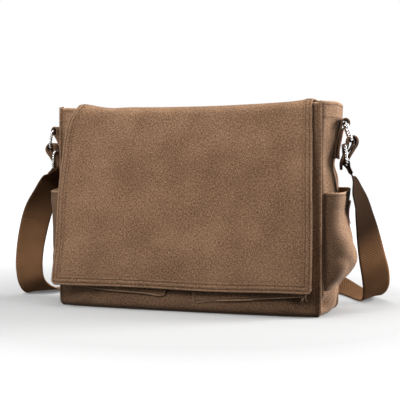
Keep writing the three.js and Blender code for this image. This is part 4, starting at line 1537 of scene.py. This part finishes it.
def band(name, way, profile, width, thickness, material, count=70, wear_and_shade=0.3):
    """A band whose middle follows a profile of (outward, height) points, across the strap's width."""
    line = smooth_line(profile, count)
    path = strap_place(way, line[:, 0], line[:, 1])
    return loft(name, ribbon_rings(path, across_strap(way), width, thickness, 11), material, wear_and_shade=wear_and_shade)


def edge_stitches(name, way, profile, width, thickness, offset):
    """Rows of stitches near both edges of a band, on the given side of it."""
    line = smooth_line(profile, 90)
    path = strap_place(way, line[:, 0], line[:, 1])
    across = across_strap(way)
    normal = unit(np.cross(np.gradient(path, axis=0), across)) * offset
    edges = (width / 2 - 3, 3 - width / 2)
    return stitches(name, [(path + across * edge + normal * thickness / 2, normal) for edge in edges])


def arc(centre, radius, start, end, count):
    """Points on a circle, from start to end degrees."""
    turns = np.radians(np.linspace(start, end, count))
    return [(centre[0] + radius * math.cos(t), centre[1] + radius * math.sin(t)) for t in turns]


def twisted_frame(node, way, low, high, body_name):
    """A rectangular ring of twisted bar that stands across the strap between two profile points."""
    bar = WIRE
    middle = np.add(low, high) / 2
    rise = np.subtract(high, low)
    half_height = np.hypot(*rise) / 2
    half_width = RING_INSIDE / 2 + bar / 2
    radius = bar / 2 + 2.5
    up = rise / np.hypot(*rise)
    outline = []
    for sx, sy, start in ((1, 1, 0), (-1, 1, 90), (-1, -1, 180), (1, -1, 270)):
        centre = (sx * (half_width - radius), sy * (half_height - radius))
        outline += arc(centre, radius, start, start + 90, 7)
    outline = resampled(np.array([*outline, outline[0]]), 361)[:-1]
    path = strap_place(
        way, middle[0] + up[0] * outline[:, 1], middle[1] + up[1] * outline[:, 1], outline[:, 0]
    )
    tangent = unit(np.roll(path, -1, 0) - np.roll(path, 1, 0))
    out = unit(np.cross(across_strap(way), strap_place(way, *up) - strap_place(way, 0, 0)))
    normal = unit(np.cross(tangent, np.broadcast_to(out, tangent.shape)))
    twists = 20
    turns = np.linspace(0, 2 * math.pi, 16, endpoint=False)
    rings, grooves = [], []
    for k, (at, n) in enumerate(zip(path, normal)):
        phase = 2 * math.pi * twists * k / len(path)
        radii = bar / 2 * (0.90 + 0.15 * np.cos(2 * (turns - phase)))
        rings.append(at + np.outer(radii * np.cos(turns), n) + np.outer(radii * np.sin(turns), out))
        grooves.append(0.9 * step_up(-np.cos(2 * (turns - phase)), 0.1, 0.9))
    stands_for(loft(node, rings, "nickel", closed=True, wear_and_shade=grooves), body_name, node)


def strap_hardware(name, way, loop, hang, swing, belly, dark):
    """One side's tab, facing, ring, belt, buckle, folded strap end and prong. loop and hang move the ring
    and what hangs from it, and belly rounds out the belt."""
    shift = lambda point, by: (point[0] + by[0], point[1] + by[1])
    foot = lambda out, up: shift(TAB_FOOT, (out, up))
    centre = shift(LOOP_CENTRE, loop)
    width = STRAP_WIDTH

    tab = [foot(1.4, 0), foot(2.2, 12), shift(centre, (-4.4, -12))]
    tab += arc(centre, 5.4, -50, 200, 9)
    tab += [shift(centre, (-7.4, -11)), foot(-1.6, 14), foot(-2, 0)]
    made = band(f"{name}_anchor_tab", way, tab, width, TAB, "dark_canvas", 90)
    stands_for(made, "bag", f"{name}_anchor_tab")
    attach(edge_stitches(f"{name}_anchor_tab_stitches", way, tab, width, TAB, way), "bag")

    top = shift(centre, (-2.9, -11))
    facing = [foot(3.6, -1), foot(3.9, 12), top]
    made = band(f"{name}_anchor_facing", way, facing, width - 1, 1.2, "leather", 24, 0.6)
    stands_for(made, "bag", f"{name}_anchor_facing")

    ring_body, belt_body, prong_body = f"{name}_ring", f"{name}_belt", f"{name}_prong"
    low, high = shift(RING_LOW, hang), centre
    twisted_frame(f"{name}_ring", way, low, high, ring_body)
    bar_low, bar_high = shift(BUCKLE_LOW, hang), shift(BUCKLE_TOP, hang)
    twisted_frame(f"{name}_buckle_frame", way, bar_low, bar_high, belt_body)

    belt = [(3.9, 219.2), (7.6, 226), (11.6, 233), (15.2, 240), (16.2, 246), (13.8, 250.7), (9.2, 251.7),
            (5.2, 249.4), (3.9, 245), (3.3, 239), (0.6, 229), (-3.7, 218), (-4.9, 211), (-4.7, 204.5)]
    rounded = [(out + belly * near(height, 242, 9) * (out > 7), height) for out, height in belt]
    belt = [shift(point, hang) for point in rounded]
    made = band(f"{name}_belt", way, belt, width, BELT, "dark_canvas", 110)
    taper(made, way, belt)
    stands_for(made, belt_body, f"{name}_belt")
    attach(edge_stitches(f"{name}_belt_stitches", way, belt[:8], width, BELT, way), belt_body)
    ply = [shift(point, hang) for point in ((1.6, 228), (6, 232), (9.4, 237), (11.6, 242.5), (11.4, 247))]
    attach(band(f"{name}_belt_ply", way, ply, width - 1, 1.8, "dark_canvas", 30), belt_body)

    legs = [(-1.0, -STRAP_END), (-1.2, -8), *arc((0, 0), 3.7, 215, -35, 11), (1.2, -8), (1.0, -STRAP_END)]
    turned = []
    for x, z in legs:
        out = x * math.cos(swing) - z * math.sin(swing)
        up = x * math.sin(swing) + z * math.cos(swing)
        turned.append(shift(bar_low, (out, up)))
    # The folded strap end takes painted shade, as much as dark gives.
    made = band(f"{name}_strap_end", way, turned, width, STRAP_THICKNESS, "webbing", 80, dark)
    stands_for(made, belt_body, f"{name}_strap_end")

    pin = arc(bar_low, 3.4, -60, 175, 9) + [shift(bar_low, (-3.2, 4)), shift(bar_high, (-3.0, -2))]
    pin += [shift(bar_high, (-2.9, 0.8))]
    line = smooth_line(pin, 50)
    path = strap_place(way, line[:, 0], line[:, 1])
    tangent = unit(np.gradient(path, axis=0))
    side = across_strap(way)
    turns = np.linspace(0, 2 * math.pi, 12, endpoint=False)
    rings = []
    for k, (at, t) in enumerate(zip(path, tangent)):
        radius = 1.15 - 0.4 * step_up(k / len(path), 0.6, 1.0)
        up = unit(np.cross(t, side))
        rings.append(at + (np.outer(np.cos(turns), side) + np.outer(np.sin(turns), up)) * radius)
    made = loft(f"{name}_buckle_prong", rings, "nickel")
    stands_for(made, prong_body, f"{name}_buckle_prong")


def taper(piece, way, profile):
    """Narrows a belt's inner end to a blunt point."""
    tip = strap_place(way, *profile[-1])
    side = across_strap(way)
    for vertex in piece.data.vertices:
        at = np.array(vertex.co) / MM
        middle = at - side * ((at - tip) @ side)
        far = np.linalg.norm(middle - tip)
        if far < 15 and at[2] < profile[-1][1] + 15:
            keep = 0.25 + 0.75 * math.sin(min(far / 15, 1) * math.pi / 2)
            vertex.co = (middle + (at - middle) * keep) * MM


# ---------- assembly ----------
body()
inside()
for key, pocket in FRONT_POCKETS.items():
    front_pocket(key, pocket)
frayed_threads()
side_surfaces = {key: side_pocket(key, way) for key, way in SIDES}
pocket_tag(side_surfaces["right"])
flap()
snaps()
for key, end in STRAP_ENDS.items():
    strap_hardware(key, **end)
